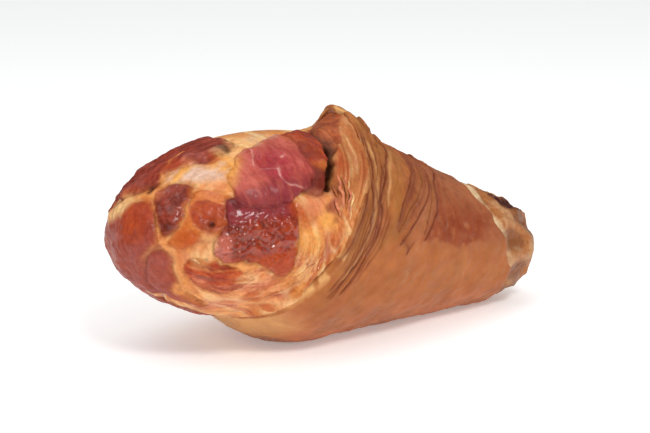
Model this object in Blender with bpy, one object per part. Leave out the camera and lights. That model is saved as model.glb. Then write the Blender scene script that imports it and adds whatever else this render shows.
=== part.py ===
"""Smoked pork shank lying on its side, skin on, as one closed solid.

The leg runs along X: the cut meat end at -X, the hock end at +X, and +Z up. Three closed
forms are shaped one by one and joined by one Boolean union:

  rind     the sleeve of skin, from the narrow hock end to the slanted collar, with its pleats,
           its thick rolled lip and the flap where the collar stands clear of the meat
  meat     the butt that bulges out of the collar, an ovoid with the muscles laid over it
  knuckle  the fat and sinew that stand out of the sleeve's narrow end
"""

import math

import bmesh
import bpy
import numpy as np
from mathutils import Vector

MM = 0.001

# From here on lengths are in millimetres and angles in degrees. An angle round the leg is
# measured from the side that faces -Y up over the top: 0 near side, 90 top, 180 far side.

# The finished solid's place: its middle is moved by this much, so that it stands over 0, 0.
CENTRE_SHIFT = (3.6, 0.0, 0.0)

# The sleeve's sections: place along the leg, half width, half height, height of the centre.
SLEEVE = np.array(
    [
        (-84.0, 57.0, 50.0, 76.0),
        (-66.0, 60.0, 55.0, 64.5),
        (-46.0, 59.5, 56.0, 55.3),
        (-20.0, 56.5, 54.0, 52.6),
        (8.0, 52.0, 50.0, 48.8),
        (30.0, 46.0, 44.5, 43.4),
        (54.0, 39.8, 38.6, 37.6),
        (79.0, 34.0, 33.0, 32.2),
        (104.0, 27.8, 27.0, 26.4),
        (118.0, 24.0, 23.0, 23.6),
    ]
)

# The collar is the sleeve's slanted open edge. It reaches furthest to the hock at the top.
COLLAR_X = -37.0
COLLAR_SLANT = 38.5
COLLAR_BOW = 3.0
COLLAR_BOW_ANGLE = 50.0
COLLAR_BOW_SPREAD = 34.0
COLLAR_LEVEL = 54.0

# The lip rolls over from the skin into the collar. Its radius is largest on the upper near side.
# It is bent through the angles below, then runs back under the skin as a wall.
LIP_RADIUS = 3.4
LIP_EXTRA = 5.8
LIP_ANGLE = 54.0
LIP_SPREAD = 42.0
LIP_BENDS = (30, 60, 90, 120, 155)
LIP_WALL_REACH = 3.0
LIP_WALL_DEPTH = 2.6

# The flap: where the collar stands up clear of the meat. It falls off faster on the far side.
FLAP_ANGLE = 86.0
FLAP_SPREAD = 21.0
FLAP_FAR_SPREAD = 15.0
FLAP_RISE = 9.4
FLAP_REACH = 16.0
FLAP_LEAN = 5.0

# Pleats run round the leg, side by side with the collar: first one's distance from the collar,
# how many, spacing, depth, angle of the middle, spread of the angle.
PLEATS = (
    (1.0, 5, 4.8, 2.0, 38.0, 64.0),
    (33.0, 3, 5.2, 1.7, 60.0, 34.0),
    (3.0, 4, 5.4, 1.4, 160.0, 60.0),
)
PLEATED_REACH = 50.0
PLEAT_DRIFT = 1.8
PLEAT_WOBBLE = 0.9

# The skin's edge at the narrow end: angle round the leg, place along it. The skin rounds down
# to the knuckle over a reach, then turns in.
HOCK_EDGE = (
    (-120, 88),
    (-60, 91),
    (-20, 90),
    (10, 86),
    (36, 78),
    (58, 72),
    (90, 72),
    (140, 80),
    (180, 84),
)
HOCK_ROUND = 7.0
HOCK_ROUND_REACH = 14.0
HOCK_TURN_IN = 1.5

# How finely the sleeve is divided, and the inner points that close it at its two ends.
RIND_COLUMNS = 78
RIND_PLEATED_ROWS = 29
RIND_PLAIN_ROWS = 8
RIND_HOCK_POLE = (76, 0, 32)
RIND_COLLAR_POLE = (-23, 0, 50)

# The meat: its core, then the muscles laid over it from back to front: name, place along the
# leg, angle round it, half length, half width, roll, squareness, rise, depth of the crease.
CORE_CENTRE = np.array((-47.8, -2.5, 58.7))
CORE_SIZES = np.array((79.3, 52.5, 44.3))
MUSCLES = (
    ("top back", -93, 96, 32, 16, 168, 2.6, 2.2, 1.2),
    ("far side", -84, 150, 34, 26, 150, 2.4, 2.0, 1.4),
    ("under", -102, 255, 30, 24, 0, 2.4, -2.0, 0.5),
    ("left end", -126, 14, 25, 20, 66, 2.6, 2.4, 1.4),
    ("lower strip", -113, -46, 19, 8, 158, 2.2, 1.6, 1.2),
    ("fat corner", -119, 78, 13, 8, 120, 2.2, 2.6, 0.6),
    ("heel", -121, -48, 10, 8, 90, 2.2, 3.0, 0.4),
    ("dark oval", -112, 53, 14, 9, 49, 2.2, 1.0, 1.4),
    ("joint", -102, 29, 16, 11, 26, 2.4, -0.6, 0.8),
    ("striated", -97, -26, 19, 8.5, 171, 2.2, 0.6, 0.8),
    ("behind pink", -33, 62, 29, 17, 62, 2.6, 2.4, 1.8),
    ("glossy", -80, 8, 23, 18, 163, 2.4, 2.6, 1.6),
    ("pink", -61, 51, 25.5, 19, 38, 2.4, 4.4, 1.8),
)
MUSCLE_EDGE = 4.0
MUSCLE_WOBBLE = 0.05
MUSCLE_BEHIND = 8.0
CREASE_WIDTH = 3.0

# Fat fills the collar flush on the lower near side, and a cleft runs beside the lip above.
FILL_RISE = 5.0
FILL_ANGLE = -22.0
FILL_SPREAD = 42.0
FILL_REACH = 18.0
CLEFT_DEPTH = 5.0
CLEFT_ANGLE = 66.0
CLEFT_SPREAD = 34.0
CLEFT_PLACE = 9.0
CLEFT_WIDTH = 5.0

MEAT_SEGMENTS = 74
MEAT_BARE = 102.0
MEAT_BARE_RINGS = 30
MEAT_HIDDEN_RINGS = 6

# The knuckle's sections, in the same order as the sleeve's.
KNUCKLE = np.array(
    [
        (60.0, 34.0, 33.0, 35.5),
        (76.0, 32.6, 31.8, 32.6),
        (88.0, 30.6, 30.0, 30.0),
        (98.0, 27.6, 27.6, 28.0),
        (107.0, 24.2, 25.2, 26.8),
        (114.0, 19.6, 21.6, 26.2),
        (119.0, 13.0, 15.6, 26.0),
        (121.6, 5.0, 7.0, 26.0),
    ]
)
KNUCKLE_POLE = (58.0, 0.0, 35.5)
KNUCKLE_TIP = 122.2
KNUCKLE_FOLD = 0.035
KNUCKLE_FOLD_LENGTH = 9.0
KNUCKLE_SEGMENTS = 36
KNUCKLE_RINGS = 17


def smoothstep(x):
    t = np.clip(x, 0.0, 1.0)
    return t * t * (3 - 2 * t)


def bell(x, spread):
    return np.exp(-((x / spread) ** 2))


def turned(theta, middle):
    """Signed angle in degrees from middle, for theta in radians."""
    return (np.degrees(theta) - middle + 180.0) % 360.0 - 180.0


def section(table, x, column):
    """Smooth curve through one column of a table of sections."""
    places, values = table[:, 0], table[:, column]
    slopes = np.gradient(values, places)
    index = np.clip(np.searchsorted(places, x) - 1, 0, len(places) - 2)
    span = places[index + 1] - places[index]
    t = np.clip((x - places[index]) / span, 0.0, 1.0)
    return (
        values[index] * (2 * t**3 - 3 * t**2 + 1)
        + slopes[index] * span * (t**3 - 2 * t**2 + t)
        + values[index + 1] * (3 * t**2 - 2 * t**3)
        + slopes[index + 1] * span * (t**3 - t**2)
    )


def collar_x(theta):
    bow = COLLAR_BOW * bell(turned(theta, COLLAR_BOW_ANGLE), COLLAR_BOW_SPREAD)
    lean = FLAP_LEAN * bell(turned(theta, FLAP_ANGLE), FLAP_SPREAD)
    return COLLAR_X + COLLAR_SLANT * np.sin(theta) + bow - lean


def hock_x(theta):
    angles, places = zip(*HOCK_EDGE)
    return np.interp(np.degrees(theta), angles, places, period=360)


def lip_radius(theta):
    return LIP_RADIUS + LIP_EXTRA * bell(turned(theta, LIP_ANGLE), LIP_SPREAD)


def flap_rise(theta, gap):
    angle = turned(theta, FLAP_ANGLE)
    near = np.exp(-(np.abs(angle / np.where(angle > 0, FLAP_FAR_SPREAD, FLAP_SPREAD)) ** 3))
    return FLAP_RISE * near * (1 - smoothstep(gap / FLAP_REACH))


def pleat_relief(theta, gap):
    """How far the skin stands out, for a place gap millimetres from the collar."""
    relief = np.zeros_like(theta)
    for first, count, pitch, depth, middle, spread in PLEATS:
        angle = np.radians(turned(theta, middle))
        drift = PLEAT_DRIFT * np.sin(2 * angle + first) + PLEAT_WOBBLE * np.sin(5 * theta + pitch)
        phase = (gap - first - drift) / pitch
        inside = smoothstep(phase + 0.5) * smoothstep(count - phase)
        wave = 1.0 - 2.0 * np.abs(np.sin(math.pi * phase)) ** 0.8
        relief += 0.5 * depth * wave * inside * bell(np.degrees(angle), spread)
    return relief


def ring_point(table, x, theta, outward):
    """Places round a table's sections at x, moved outward and kept above the floor."""
    across = -(section(table, x, 1) + outward) * np.cos(theta)
    up = section(table, x, 3) + (section(table, x, 2) + outward) * np.sin(theta)
    return np.stack([x, across, np.maximum(up, 0.0)], axis=-1)


def rind_rows():
    """Rings from the hock end over the skin to the collar, then round the lip and inside."""
    theta = np.linspace(0, 2 * math.pi, RIND_COLUMNS, endpoint=False)
    edge = collar_x(theta)
    end = hock_x(theta)
    rows = [ring_point(SLEEVE, end - HOCK_TURN_IN, theta, -HOCK_ROUND)]
    reach = np.minimum(PLEATED_REACH, end - edge - HOCK_ROUND_REACH)
    plain = [(1 - s) * reach + s * (end - edge) for s in np.linspace(1, 0, RIND_PLAIN_ROWS)]
    pleated = [reach * s for s in np.linspace(1, 0, RIND_PLEATED_ROWS)]
    for gap in plain[:-1] + pleated:
        outward = pleat_relief(theta, gap) + flap_rise(theta, gap)
        outward -= HOCK_ROUND * np.clip(1 - (end - edge - gap) / HOCK_ROUND_REACH, 0, 1) ** 2
        rows.append(ring_point(SLEEVE, edge + gap, theta, outward))
    radius = lip_radius(theta)
    rise = flap_rise(theta, 0.0)
    for bend in LIP_BENDS:
        forward = radius * math.sin(math.radians(bend))
        inward = radius * (1 - math.cos(math.radians(bend)))
        rows.append(ring_point(SLEEVE, edge - forward, theta, rise - inward))
    rows.append(ring_point(SLEEVE, edge + LIP_WALL_REACH, theta, rise - LIP_WALL_DEPTH * radius))
    return rows


def core_frame(along, around):
    """A place on the core, with its outward, lengthwise and roundabout directions."""
    theta = math.radians(around)
    offset = along - CORE_CENTRE[0]
    ring = math.sqrt(max(0.0, 1 - (offset / CORE_SIZES[0]) ** 2))
    spot = np.array(
        (
            offset,
            -ring * CORE_SIZES[1] * math.cos(theta),
            ring * CORE_SIZES[2] * math.sin(theta),
        )
    )
    normal = spot / CORE_SIZES**2
    normal /= np.linalg.norm(normal)
    roundabout = np.array((0.0, math.sin(theta), math.cos(theta)))
    roundabout -= normal * (roundabout @ normal)
    roundabout /= np.linalg.norm(roundabout)
    return CORE_CENTRE + spot, normal, np.cross(normal, roundabout), roundabout


def muscle_reach(points, along, around, length, width, roll, squareness):
    """0 at the muscle's middle, 1 at its outline, more beyond."""
    spot, normal, lengthwise, roundabout = core_frame(along, around)
    a, b = (points - spot) @ lengthwise, (points - spot) @ roundabout
    turn = math.radians(roll)
    u = (a * math.cos(turn) + b * math.sin(turn)) / length
    v = (b * math.cos(turn) - a * math.sin(turn)) / width
    reach = (np.abs(u) ** squareness + np.abs(v) ** squareness) ** (1 / squareness)
    reach *= 1 + MUSCLE_WOBBLE * np.sin(3 * np.arctan2(v, u) + along)
    behind = (points - spot) @ normal < -0.9 * width - MUSCLE_BEHIND
    return np.where(behind, 9.0, reach)


def meat_height(points):
    """How far the flesh stands out from the core at the core's points."""
    height = np.zeros(len(points))
    for _, along, around, length, width, roll, squareness, rise, crease in MUSCLES:
        reach = muscle_reach(points, along, around, length, width, roll, squareness)
        dome = rise * np.sqrt(np.clip(1 - reach**3, 0, 1))
        inside = 1 - smoothstep(0.5 + (reach - 1.0) * width / MUSCLE_EDGE)
        edge = bell((reach - 1.0) * width, CREASE_WIDTH)
        height = height * (1 - inside) + dome * inside - crease * edge
    theta = np.arctan2(points[:, 2] - COLLAR_LEVEL, -points[:, 1])
    gap = collar_x(theta) - points[:, 0]
    fill = bell(turned(theta, FILL_ANGLE), FILL_SPREAD) * (1 - smoothstep(gap / FILL_REACH))
    cleft = bell(turned(theta, CLEFT_ANGLE), CLEFT_SPREAD) * bell(gap - CLEFT_PLACE, CLEFT_WIDTH)
    return height + FILL_RISE * fill - CLEFT_DEPTH * cleft


def meat_rows():
    """Rings of directions about the collar's axis, drawn out to the flesh."""
    slant = math.atan2(COLLAR_SLANT, COLLAR_LEVEL)
    axis = np.array((-math.cos(slant), 0.0, math.sin(slant)))
    side = np.array((0.0, -1.0, 0.0))
    top = np.cross(axis, side)
    theta = np.linspace(0, 2 * math.pi, MEAT_SEGMENTS, endpoint=False)
    bare = np.linspace(0, MEAT_BARE, MEAT_BARE_RINGS + 1)
    hidden = np.linspace(MEAT_BARE, 180, MEAT_HIDDEN_RINGS + 1)[1:]
    rows = []
    for polar in np.radians(np.concatenate([bare, hidden])):
        ray = (
            math.cos(polar) * axis
            + math.sin(polar) * np.cos(theta)[:, None] * side
            + math.sin(polar) * np.sin(theta)[:, None] * top
        )
        spots = CORE_CENTRE + ray / np.linalg.norm(ray / CORE_SIZES, axis=1)[:, None]
        spots += ray * meat_height(spots)[:, None]
        spots[:, 2] = np.maximum(spots[:, 2], 0.0)
        rows.append(spots)
    return rows


def knuckle_rows():
    """Rings from inside the sleeve to the knuckle's tip, closer together near the tip."""
    theta = np.linspace(0, 2 * math.pi, KNUCKLE_SEGMENTS, endpoint=False)
    first, last = KNUCKLE[0, 0], KNUCKLE[-1, 0]
    rows = []
    for quarter in np.linspace(0, math.pi / 2, KNUCKLE_RINGS):
        x = np.full_like(theta, first + (last - first) * math.sin(quarter))
        along = x / KNUCKLE_FOLD_LENGTH
        swirl = np.sin(3 * theta + along) + 0.6 * np.sin(5 * theta - along)
        fold = KNUCKLE_FOLD * swirl * section(KNUCKLE, x, 1)
        rows.append(ring_point(KNUCKLE, x, theta, fold))
    return rows


def add_form(name, rows, start, stop):
    """A UV sphere drawn out to rings of points, with its poles at start and stop."""
    columns = len(rows[0])
    mesh = bmesh.new()
    bmesh.ops.create_uvsphere(mesh, u_segments=columns, v_segments=len(rows) + 1, radius=1.0)
    for vertex in mesh.verts:
        polar = math.acos(max(-1.0, min(1.0, vertex.co.z)))
        ring = round(polar / math.pi * (len(rows) + 1))
        column = round(math.atan2(vertex.co.y, vertex.co.x) / (2 * math.pi) * columns)
        if ring in (0, len(rows) + 1):
            vertex.co = Vector(start if ring == 0 else stop) * MM
        else:
            vertex.co = Vector(rows[ring - 1][column % columns]) * MM
    bmesh.ops.recalc_face_normals(mesh, faces=mesh.faces)
    data = bpy.data.meshes.new(name)
    mesh.to_mesh(data)
    mesh.free()
    obj = bpy.data.objects.new(name, data)
    bpy.context.scene.collection.objects.link(obj)
    return obj


def join(forms, name):
    """One solid from closed forms that overlap."""
    first, rest = forms[0], forms[1:]
    bpy.context.view_layer.objects.active = first
    for other in rest:
        union = first.modifiers.new("union", "BOOLEAN")
        union.operation = "UNION"
        union.object = other
        bpy.ops.object.modifier_apply(modifier=union.name)
        bpy.data.objects.remove(other)
    first.name = first.data.name = name
    return first


def smoked_pork():
    """One even colour between the tan rind and the red flesh, with a greasy half gloss."""
    material = bpy.data.materials.new("smoked pork")
    material.use_nodes = True
    shader = material.node_tree.nodes["Principled BSDF"]
    shader.inputs["Base Color"].default_value = (0.50, 0.19, 0.07, 1.0)
    shader.inputs["Roughness"].default_value = 0.42
    shader.inputs["Metallic"].default_value = 0.0
    return material


def main():
    for obj in list(bpy.data.objects):
        bpy.data.objects.remove(obj)
    flesh = meat_rows()
    shank = join(
        [
            add_form("rind", rind_rows(), RIND_HOCK_POLE, RIND_COLLAR_POLE),
            add_form("meat", flesh[1:-1], flesh[0][0], flesh[-1][0]),
            add_form("knuckle", knuckle_rows(), KNUCKLE_POLE, (KNUCKLE_TIP, 0, KNUCKLE[-1, 3])),
        ],
        "shank",
    )
    for vertex in shank.data.vertices:
        vertex.co += Vector(CENTRE_SHIFT) * MM
    shank.data.materials.append(smoked_pork())
    shank.data.shade_smooth()
    shank.data.set_sharp_from_angle(angle=math.radians(40))


main()
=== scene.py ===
"""Looks of the smoked pork shank: flesh, rind, knuckle and the torn shreds in the collar.

Laid out as an add-on and run as a script. Lengths are in millimetres and angles in degrees until
a mesh is written, in metres. An angle round the leg is measured from the side that faces -Y up
over the top: 0 near side, 90 top, 180 far side. The construction follows the solid's, and is
moved along the leg by CENTRE_SHIFT at the end.
"""

import math

import bpy
import numpy as np
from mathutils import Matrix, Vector


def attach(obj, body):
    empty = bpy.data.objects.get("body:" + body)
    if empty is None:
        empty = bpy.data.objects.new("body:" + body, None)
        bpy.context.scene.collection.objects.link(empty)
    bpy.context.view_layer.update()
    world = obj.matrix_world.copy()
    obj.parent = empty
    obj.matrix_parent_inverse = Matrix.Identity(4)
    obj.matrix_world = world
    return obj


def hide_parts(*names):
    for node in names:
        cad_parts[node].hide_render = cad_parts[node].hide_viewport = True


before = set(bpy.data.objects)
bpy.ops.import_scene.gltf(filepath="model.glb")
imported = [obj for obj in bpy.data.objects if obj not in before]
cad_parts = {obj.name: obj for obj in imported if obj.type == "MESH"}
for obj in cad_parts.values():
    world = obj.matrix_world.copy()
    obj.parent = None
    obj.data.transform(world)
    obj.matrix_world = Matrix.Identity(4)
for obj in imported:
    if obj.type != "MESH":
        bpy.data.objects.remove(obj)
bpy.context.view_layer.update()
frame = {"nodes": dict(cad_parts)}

bl_info = {
    "name": "Smoked Pork Shank",
    "version": (1, 0, 0),
    "blender": (4, 5, 0),
    "location": "3D View > Sidebar > Pork Shank",
    "description": "Builds a smoked pork shank, skin on, in a pale studio",
    "category": "Add Mesh",
}

MM = 0.001
CENTRE_SHIFT = np.array((3.6, 0.0, 0.0))

# The sleeve's sections: place along the leg, half width, half height, height of the centre.
SLEEVE = np.array(
    [
        (-84.0, 57.0, 50.0, 76.0),
        (-66.0, 60.0, 55.0, 64.5),
        (-46.0, 59.5, 56.0, 55.3),
        (-20.0, 56.5, 54.0, 52.6),
        (8.0, 52.0, 50.0, 48.8),
        (30.0, 46.0, 44.5, 43.4),
        (54.0, 39.8, 38.6, 37.6),
        (79.0, 34.0, 33.0, 32.2),
        (104.0, 27.8, 27.0, 26.4),
        (118.0, 24.0, 23.0, 23.6),
    ]
)

# The knuckle's sections, in the same order.
KNUCKLE = np.array(
    [
        (60.0, 34.0, 33.0, 35.5),
        (76.0, 32.6, 31.8, 32.6),
        (88.0, 30.6, 29.8, 30.2),
        (98.0, 27.6, 26.6, 28.8),
        (107.0, 24.2, 23.4, 28.4),
        (114.0, 19.6, 19.2, 28.6),
        (119.0, 13.0, 13.0, 29.0),
        (121.6, 5.0, 6.0, 29.2),
    ]
)

# The collar, the sleeve's slanted open edge.
COLLAR_X = -37.0
COLLAR_SLANT = 38.5
COLLAR_HALF_HEIGHT = 54.0
COLLAR_BOW = 3.0
COLLAR_BOW_ANGLE = 50.0
COLLAR_BOW_SPREAD = 34.0

# The lip that rolls over from the skin into the collar, thinnest round the far side of the flap.
LIP_RADIUS = 3.6
LIP_THINNED = 1.8
LIP_THIN_ANGLE = 102.0
LIP_THIN_SPREAD = 26.0

# The flap, where the collar stands clear of the meat.
FLAP_ANGLE = 86.0
FLAP_SPREAD = 21.0
FLAP_FAR_SPREAD = 15.5
FLAP_RISE = 9.4
FLAP_REACH = 16.0
FLAP_LEAN = 5.0

# The meat's core.
CORE_CENTRE = np.array((-47.8, -2.5, 58.7))
CORE_SIZES = np.array((79.3, 52.5, 44.3))

# Muscles laid over the core from back to front: name, rise, width of the rounded edge, depth of
# the crease round it, strength of the painted shade along that crease, its grain and its outline.
# The grain is its direction in degrees, how far it is drawn out and its strength. Places on the
# core are millimetres along the leg and degrees round it.
MUSCLES = (
    ("far side", 2.0, 9.0, 0.8, 0.3, (0, 0.2, 0.5), (
        (-118, 150), (-96, 124), (-70, 120), (-46, 126), (-40, 155), (-50, 195), (-84, 205),
        (-112, 190),
    )),
    ("under", 0.0, 6.0, 0.4, 0.2, (0, 0.2, 0.5), (
        (-118, -150), (-90, -155), (-62, -145), (-58, -110), (-70, -82), (-96, -70),
        (-114, -84), (-121, -118),
    )),
    ("top back", 2.2, 5.0, 0.8, 0.25, (4, 0.16, 0.6), (
        (-119, 120), (-116, 90), (-110, 75), (-104, 77), (-96, 76), (-88, 73), (-81, 72),
        (-75, 75), (-68, 80), (-70, 92), (-68, 108), (-80, 120), (-98, 126), (-112, 130),
    )),
    ("left end", 1.8, 6.0, 0.4, 0.1, (70, 0.4, 0.35), (
        (-119, 111), (-119, 80), (-117, 63), (-119, 41), (-119, 19), (-120, 7), (-123, -2),
        (-122, -22), (-120, -42), (-115, -52), (-114, -70), (-118, -92), (-118, -130),
        (-118, 180), (-118, 140),
    )),
    ("heart", 1.4, 4.0, 0.4, 0.2, (40, 0.5, 0.3), (
        (-122, -3), (-119, 3), (-117, -3), (-115, -14), (-112, -34), (-108, -44), (-102, -50),
        (-94, -55), (-100, -59), (-108, -62), (-116, -60), (-120, -52), (-122, -25),
    )),
    ("joint", 0.8, 4.0, 0.2, 0.0, (60, 0.5, 0.15), (
        (-101, 51), (-95, 47), (-90, 41), (-88, 35), (-90, 27), (-93, 19), (-98, 11),
        (-102, 8), (-107, 6), (-113, 2), (-116, 10), (-114, 19), (-111, 29), (-107, 40),
    )),
    ("marrow", 0.3, 4.0, 0.0, 0.0, (0, 0.8, 0.3), (
        (-106, 41), (-100, 42), (-95, 36), (-91, 29), (-92, 21), (-97, 16), (-103, 17),
        (-106, 24), (-107, 32),
    )),
    ("dark oval", 1.6, 4.5, 0.8, 0.3, (50, 0.6, 0.3), (
        (-113, 68), (-108, 69), (-104, 64), (-101, 57), (-102, 50), (-106, 43), (-110, 33),
        (-113, 23), (-116, 19), (-118, 28), (-118, 46), (-116, 58),
    )),
    ("striated", 0.6, 4.0, 0.2, 0.0, (12, 0.1, 0.9), (
        (-111, -16), (-109, -7), (-104, -6), (-98, -9), (-92, -13), (-84, -18), (-83, -24),
        (-89, -32), (-96, -37), (-103, -34), (-108, -27),
    )),
    ("behind pink", 2.6, 6.0, 1.2, 0.5, (75, 0.4, 0.3), (
        (-49, 78), (-40, 81), (-32, 82), (-28, 78), (-27, 70), (-28, 62), (-31, 53), (-35, 45),
        (-39, 37), (-43, 30), (-50, 29), (-58, 34), (-60, 52), (-56, 68),
    )),
    ("glossy", 2.6, 5.0, 0.5, 0.15, (0, 0.8, 0.2), (
        (-90, 36), (-84, 36), (-76, 32), (-64, 30), (-61, 18), (-61, 6), (-62, -5), (-65, -15),
        (-69, -19), (-75, -16), (-81, -9), (-87, -7), (-94, -9), (-99, -4), (-101, 5),
        (-98, 13), (-95, 19), (-93, 27),
    )),
    ("pink", 3.8, 14.0, 0.5, 0.12, (78, 0.3, 0.35), (
        (-87, 44), (-86, 52), (-80, 61), (-72, 68), (-63, 72), (-55, 76), (-46, 80), (-43, 70),
        (-44, 60), (-45, 51), (-44, 44), (-47, 38), (-52, 33), (-58, 29), (-65, 26), (-73, 26),
        (-81, 28), (-87, 35),
    )),
)

# The membrane over the fat between the pink muscle and the top edge, milky partly as a painted
# sheen.
MEMBRANE = (
    (-110, 76), (-103, 80), (-94, 76), (-88, 69), (-81, 66), (-82, 57), (-87, 50), (-94, 52),
    (-99, 56), (-103, 63), (-109, 70),
)

# Faces cut through skin and fat inside the lip, the brown part of them under the flap, and their
# inner edge, where a crevice parts the upper half from the muscles.
COLLAR_FACES = (
    (-22, 88), (-28, 78), (-27, 70), (-28, 60), (-31, 50), (-36, 38), (-37, 26), (-38, 18),
    (-40, 8), (-45, -4), (-52, -18), (-58, -34), (-50, -44), (-34, -30), (-20, -5), (-8, 20),
    (6, 45), (16, 70), (16, 95), (6, 112), (-4, 110), (-13, 100),
)
FLAP_FACE = (
    (-22, 88), (-28, 78), (-27, 70), (-28, 60), (-31, 51), (-26, 55), (-14, 70), (-5, 85), (8, 90),
    (10, 110), (-4, 112), (-13, 100),
)
INNER_EDGE = (
    (-4, 112), (-13, 100), (-22, 88), (-28, 78), (-27, 70), (-28, 61), (-31, 52), (-35, 42),
    (-38, 30), (-38, 18), (-41, 8), (-46, -4), (-53, -18), (-59, -34), (-56, -52),
)
CREVICE = ((-24, 86), (-28, 78), (-27, 70), (-27, 62), (-30, 55), (-33, 48), (-37, 39), (-41, 32))
CREVICE_DEPTH = 4.0
CREVICE_WIDTH = 1.4
RIM_WIDTH = 8.0

# How far the flesh sinks under the skin at the collar, and how much more with each millimetre on.
SUNK_AT_COLLAR = 1.4
SUNK_SLOPE = 0.25
SUNK_REACH = 8.0

# Strands of fat sweep round this place. The smaller the pull, the longer the strands.
SWEEP_MIDDLE = (-84, 8)
SWEEP_PULL = 7.0

# Seams of fat between muscles: route, half width, rise.
FAT_SEAMS = (
    (((-112, 70), (-107, 78), (-101, 85), (-96, 90), (-90, 89)), 0.7, 0.5),
    (((-116, 62), (-118, 38), (-118, 15)), 0.8, 0.4),
    (((-118, 15), (-121, 6), (-123, -9), (-122, -33)), 0.9, 0.5),
    (((-118, 15), (-116, 3), (-113, -19), (-107, -40), (-96, -52)), 1.6, 0.6),
    (((-118, 15), (-114, 18), (-110, 30), (-105, 43), (-101, 52)), 0.9, 0.5),
    (((-117, 147), (-123, 125), (-119, 104), (-118, 90), (-116, 80), (-113, 70)), 2.6, 0.9),
)

# Pale veins on the pink muscle: route and half width.
PINK_VEINS = (
    (((-61, 57), (-61, 51), (-63, 47), (-64, 41), (-62, 37), (-58, 35), (-53, 32)), 0.5),
    (((-61, 53), (-57, 55), (-55, 55)), 0.4),
    (((-68, 66), (-71, 57), (-71, 51), (-67, 48), (-63, 48)), 0.35),
)

# The hole beside the joint.
JOINT_HOLE = (-100, 21)

# Torn shreds of fat inside the collar: radius, height over the roll, colour and route.
SHREDS = (
    (0.9, 0.7, "fat_peach", ((-35, 37), (-36, 31), (-35.4, 25), (-36.4, 18))),
    (0.7, 1.1, "roll", ((-33, 37), (-34, 31), (-33.2, 24), (-35, 16))),
    (0.8, 0.6, "fat_peach", ((-31, 36), (-31.6, 30), (-31.4, 23), (-34, 12))),
    (0.6, 0.9, "fat_cream", ((-29.4, 34), (-29.2, 28), (-31, 20), (-33.4, 11))),
    (0.8, 0.9, "fat_peach", ((-38.4, 25), (-39.4, 20), (-38.4, 14))),
    (0.6, 1.3, "roll", ((-37, 34), (-38, 29), (-37.4, 25))),
)

# Dabs of colour: place, radius, colour and strength.
DABS = (
    (-64, 77, 8.0, "fat_cream", 0.6),
    (-54, 79, 7.0, "sinew", 0.5),
    (-77, 70, 6.0, "fat_cream", 0.5),
    (-87, 54, 7.0, "fat_gold", 0.8),
    (-82, 62, 7.0, "fat_gold", 0.7),
    (-94, 46, 6.0, "fat_peach", 0.4),
    (-102, 8, 4.5, "fat_cream", 0.5),
    (-105, -5, 5.0, "fat_cream", 0.6),
    (-106, 5, 4.0, "lean_orange", 0.5),
    (-112, -3, 4.5, "fat_brown", 0.5),
    (-110, 14, 5.0, "lean_orange", 0.5),
    (-78, -24, 8.0, "fat_peach", 0.5),
    (-73, -38, 6.0, "fat_brown", 0.4),
    (-90, 50, 4.0, "fat_peach", 0.5),
    (-84, 61, 5.0, "fat_gold", 0.5),
    (-85, -21, 4.0, "fat_cream", 0.5),
    (-90, -40, 9.0, "fat_peach", 0.5),
    (-103, -31, 5.0, "fat_peach", 0.5),
    (-104, -43, 6.0, "fat", 0.6),
    (-109, -41, 4.0, "fat", 0.8),
    (-80, -36, 4.5, "fat_brown", 0.6),
    (-55, 17, 5.5, "fat_brown", 0.8),
    (-56, -9, 4.5, "fat_brown", 0.4),
    (-58, -26, 4.5, "fat_brown", 0.3),
    (-61, 22, 4.0, "lean_orange", 0.7),
    (-39, 46, 3.4, "gristle", 0.6),
    (-46, 71, 4.0, "fat_brown", 0.6),
    (-31, 75, 5.0, "dark_lean_and_shade", 0.5),
    (-41, 58, 5.0, "dark_lean_and_shade", 0.5),
    (-46, 35, 5.0, "dark_lean_and_shade", 0.8),
    # Painted shade: a near-black dab in a gap between muscles.
    (-113, 78, 2.6, "near_black_and_gap_shade", 0.85),
    (-94, 76, 3.6, "fat_peach", 0.6),
    (-85, 71, 3.6, "lean_orange", 0.6),
    (-99, 83, 4.6, "lean_orange", 0.5),
    (-88, 77, 5.0, "lean_rose", 0.6),
    # Painted shade: a near-black dab in a gap between muscles.
    (-76, 76, 2.6, "near_black_and_gap_shade", 0.7),
    (-122, -34, 12.0, "lean_rose", 0.6),
    (-126, 112, 6.0, "lean_rose", 0.7),
    (-54, 80, 5.0, "fat_cream", 0.6),
    (-121, 60, 7.0, "lean_orange", 0.45),
    (-121, 99, 5.0, "fat_cream", 0.8),
    (-123, 119, 4.6, "fat_cream", 0.7),
    (-45, 12, 5.0, "fat_gold", 0.6),
    (-50, 24, 6.0, "fat_peach", 0.7),
    (-56, 0, 6.0, "fat_gold", 0.7),
    (-62, -22, 6.0, "fat_gold", 0.6),
    (-36, 27, 5.0, "lean_rose", 0.6),
    (-40, 20, 3.0, "lean_rose", 0.7),
    (-43, 20, 2.2, "dark_lean_and_shade", 0.6),
    (-37, 15, 2.0, "dark_lean_and_shade", 0.6),
    (-40.4, 12, 1.8, "dark_lean_and_shade", 0.5),
)


def tone(code):
    """Linear red, green and blue of an sRGB hex colour."""
    parts = [int(code[i : i + 2], 16) / 255 for i in (1, 3, 5)]
    return tuple(p / 12.92 if p <= 0.04045 else ((p + 0.055) / 1.055) ** 2.4 for p in parts)


def colour(name, description, code):
    """A colour that a user may change, given as sRGB hex."""
    return bpy.props.FloatVectorProperty(
        name=name,
        description=description,
        subtype="COLOR",
        size=3,
        min=0.0,
        max=1.0,
        default=tone(code),
    )


def length(name, description, size):
    """A length that a user may change, given in millimetres."""
    return bpy.props.FloatProperty(
        name=name,
        description=description,
        unit="LENGTH",
        min=0.0,
        precision=5,
        default=size * MM,
    )


def power(name, description, watts):
    """A light's power that a user may change."""
    return bpy.props.FloatProperty(
        name=name, description=description, unit="POWER", min=0.0, default=watts
    )


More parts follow.
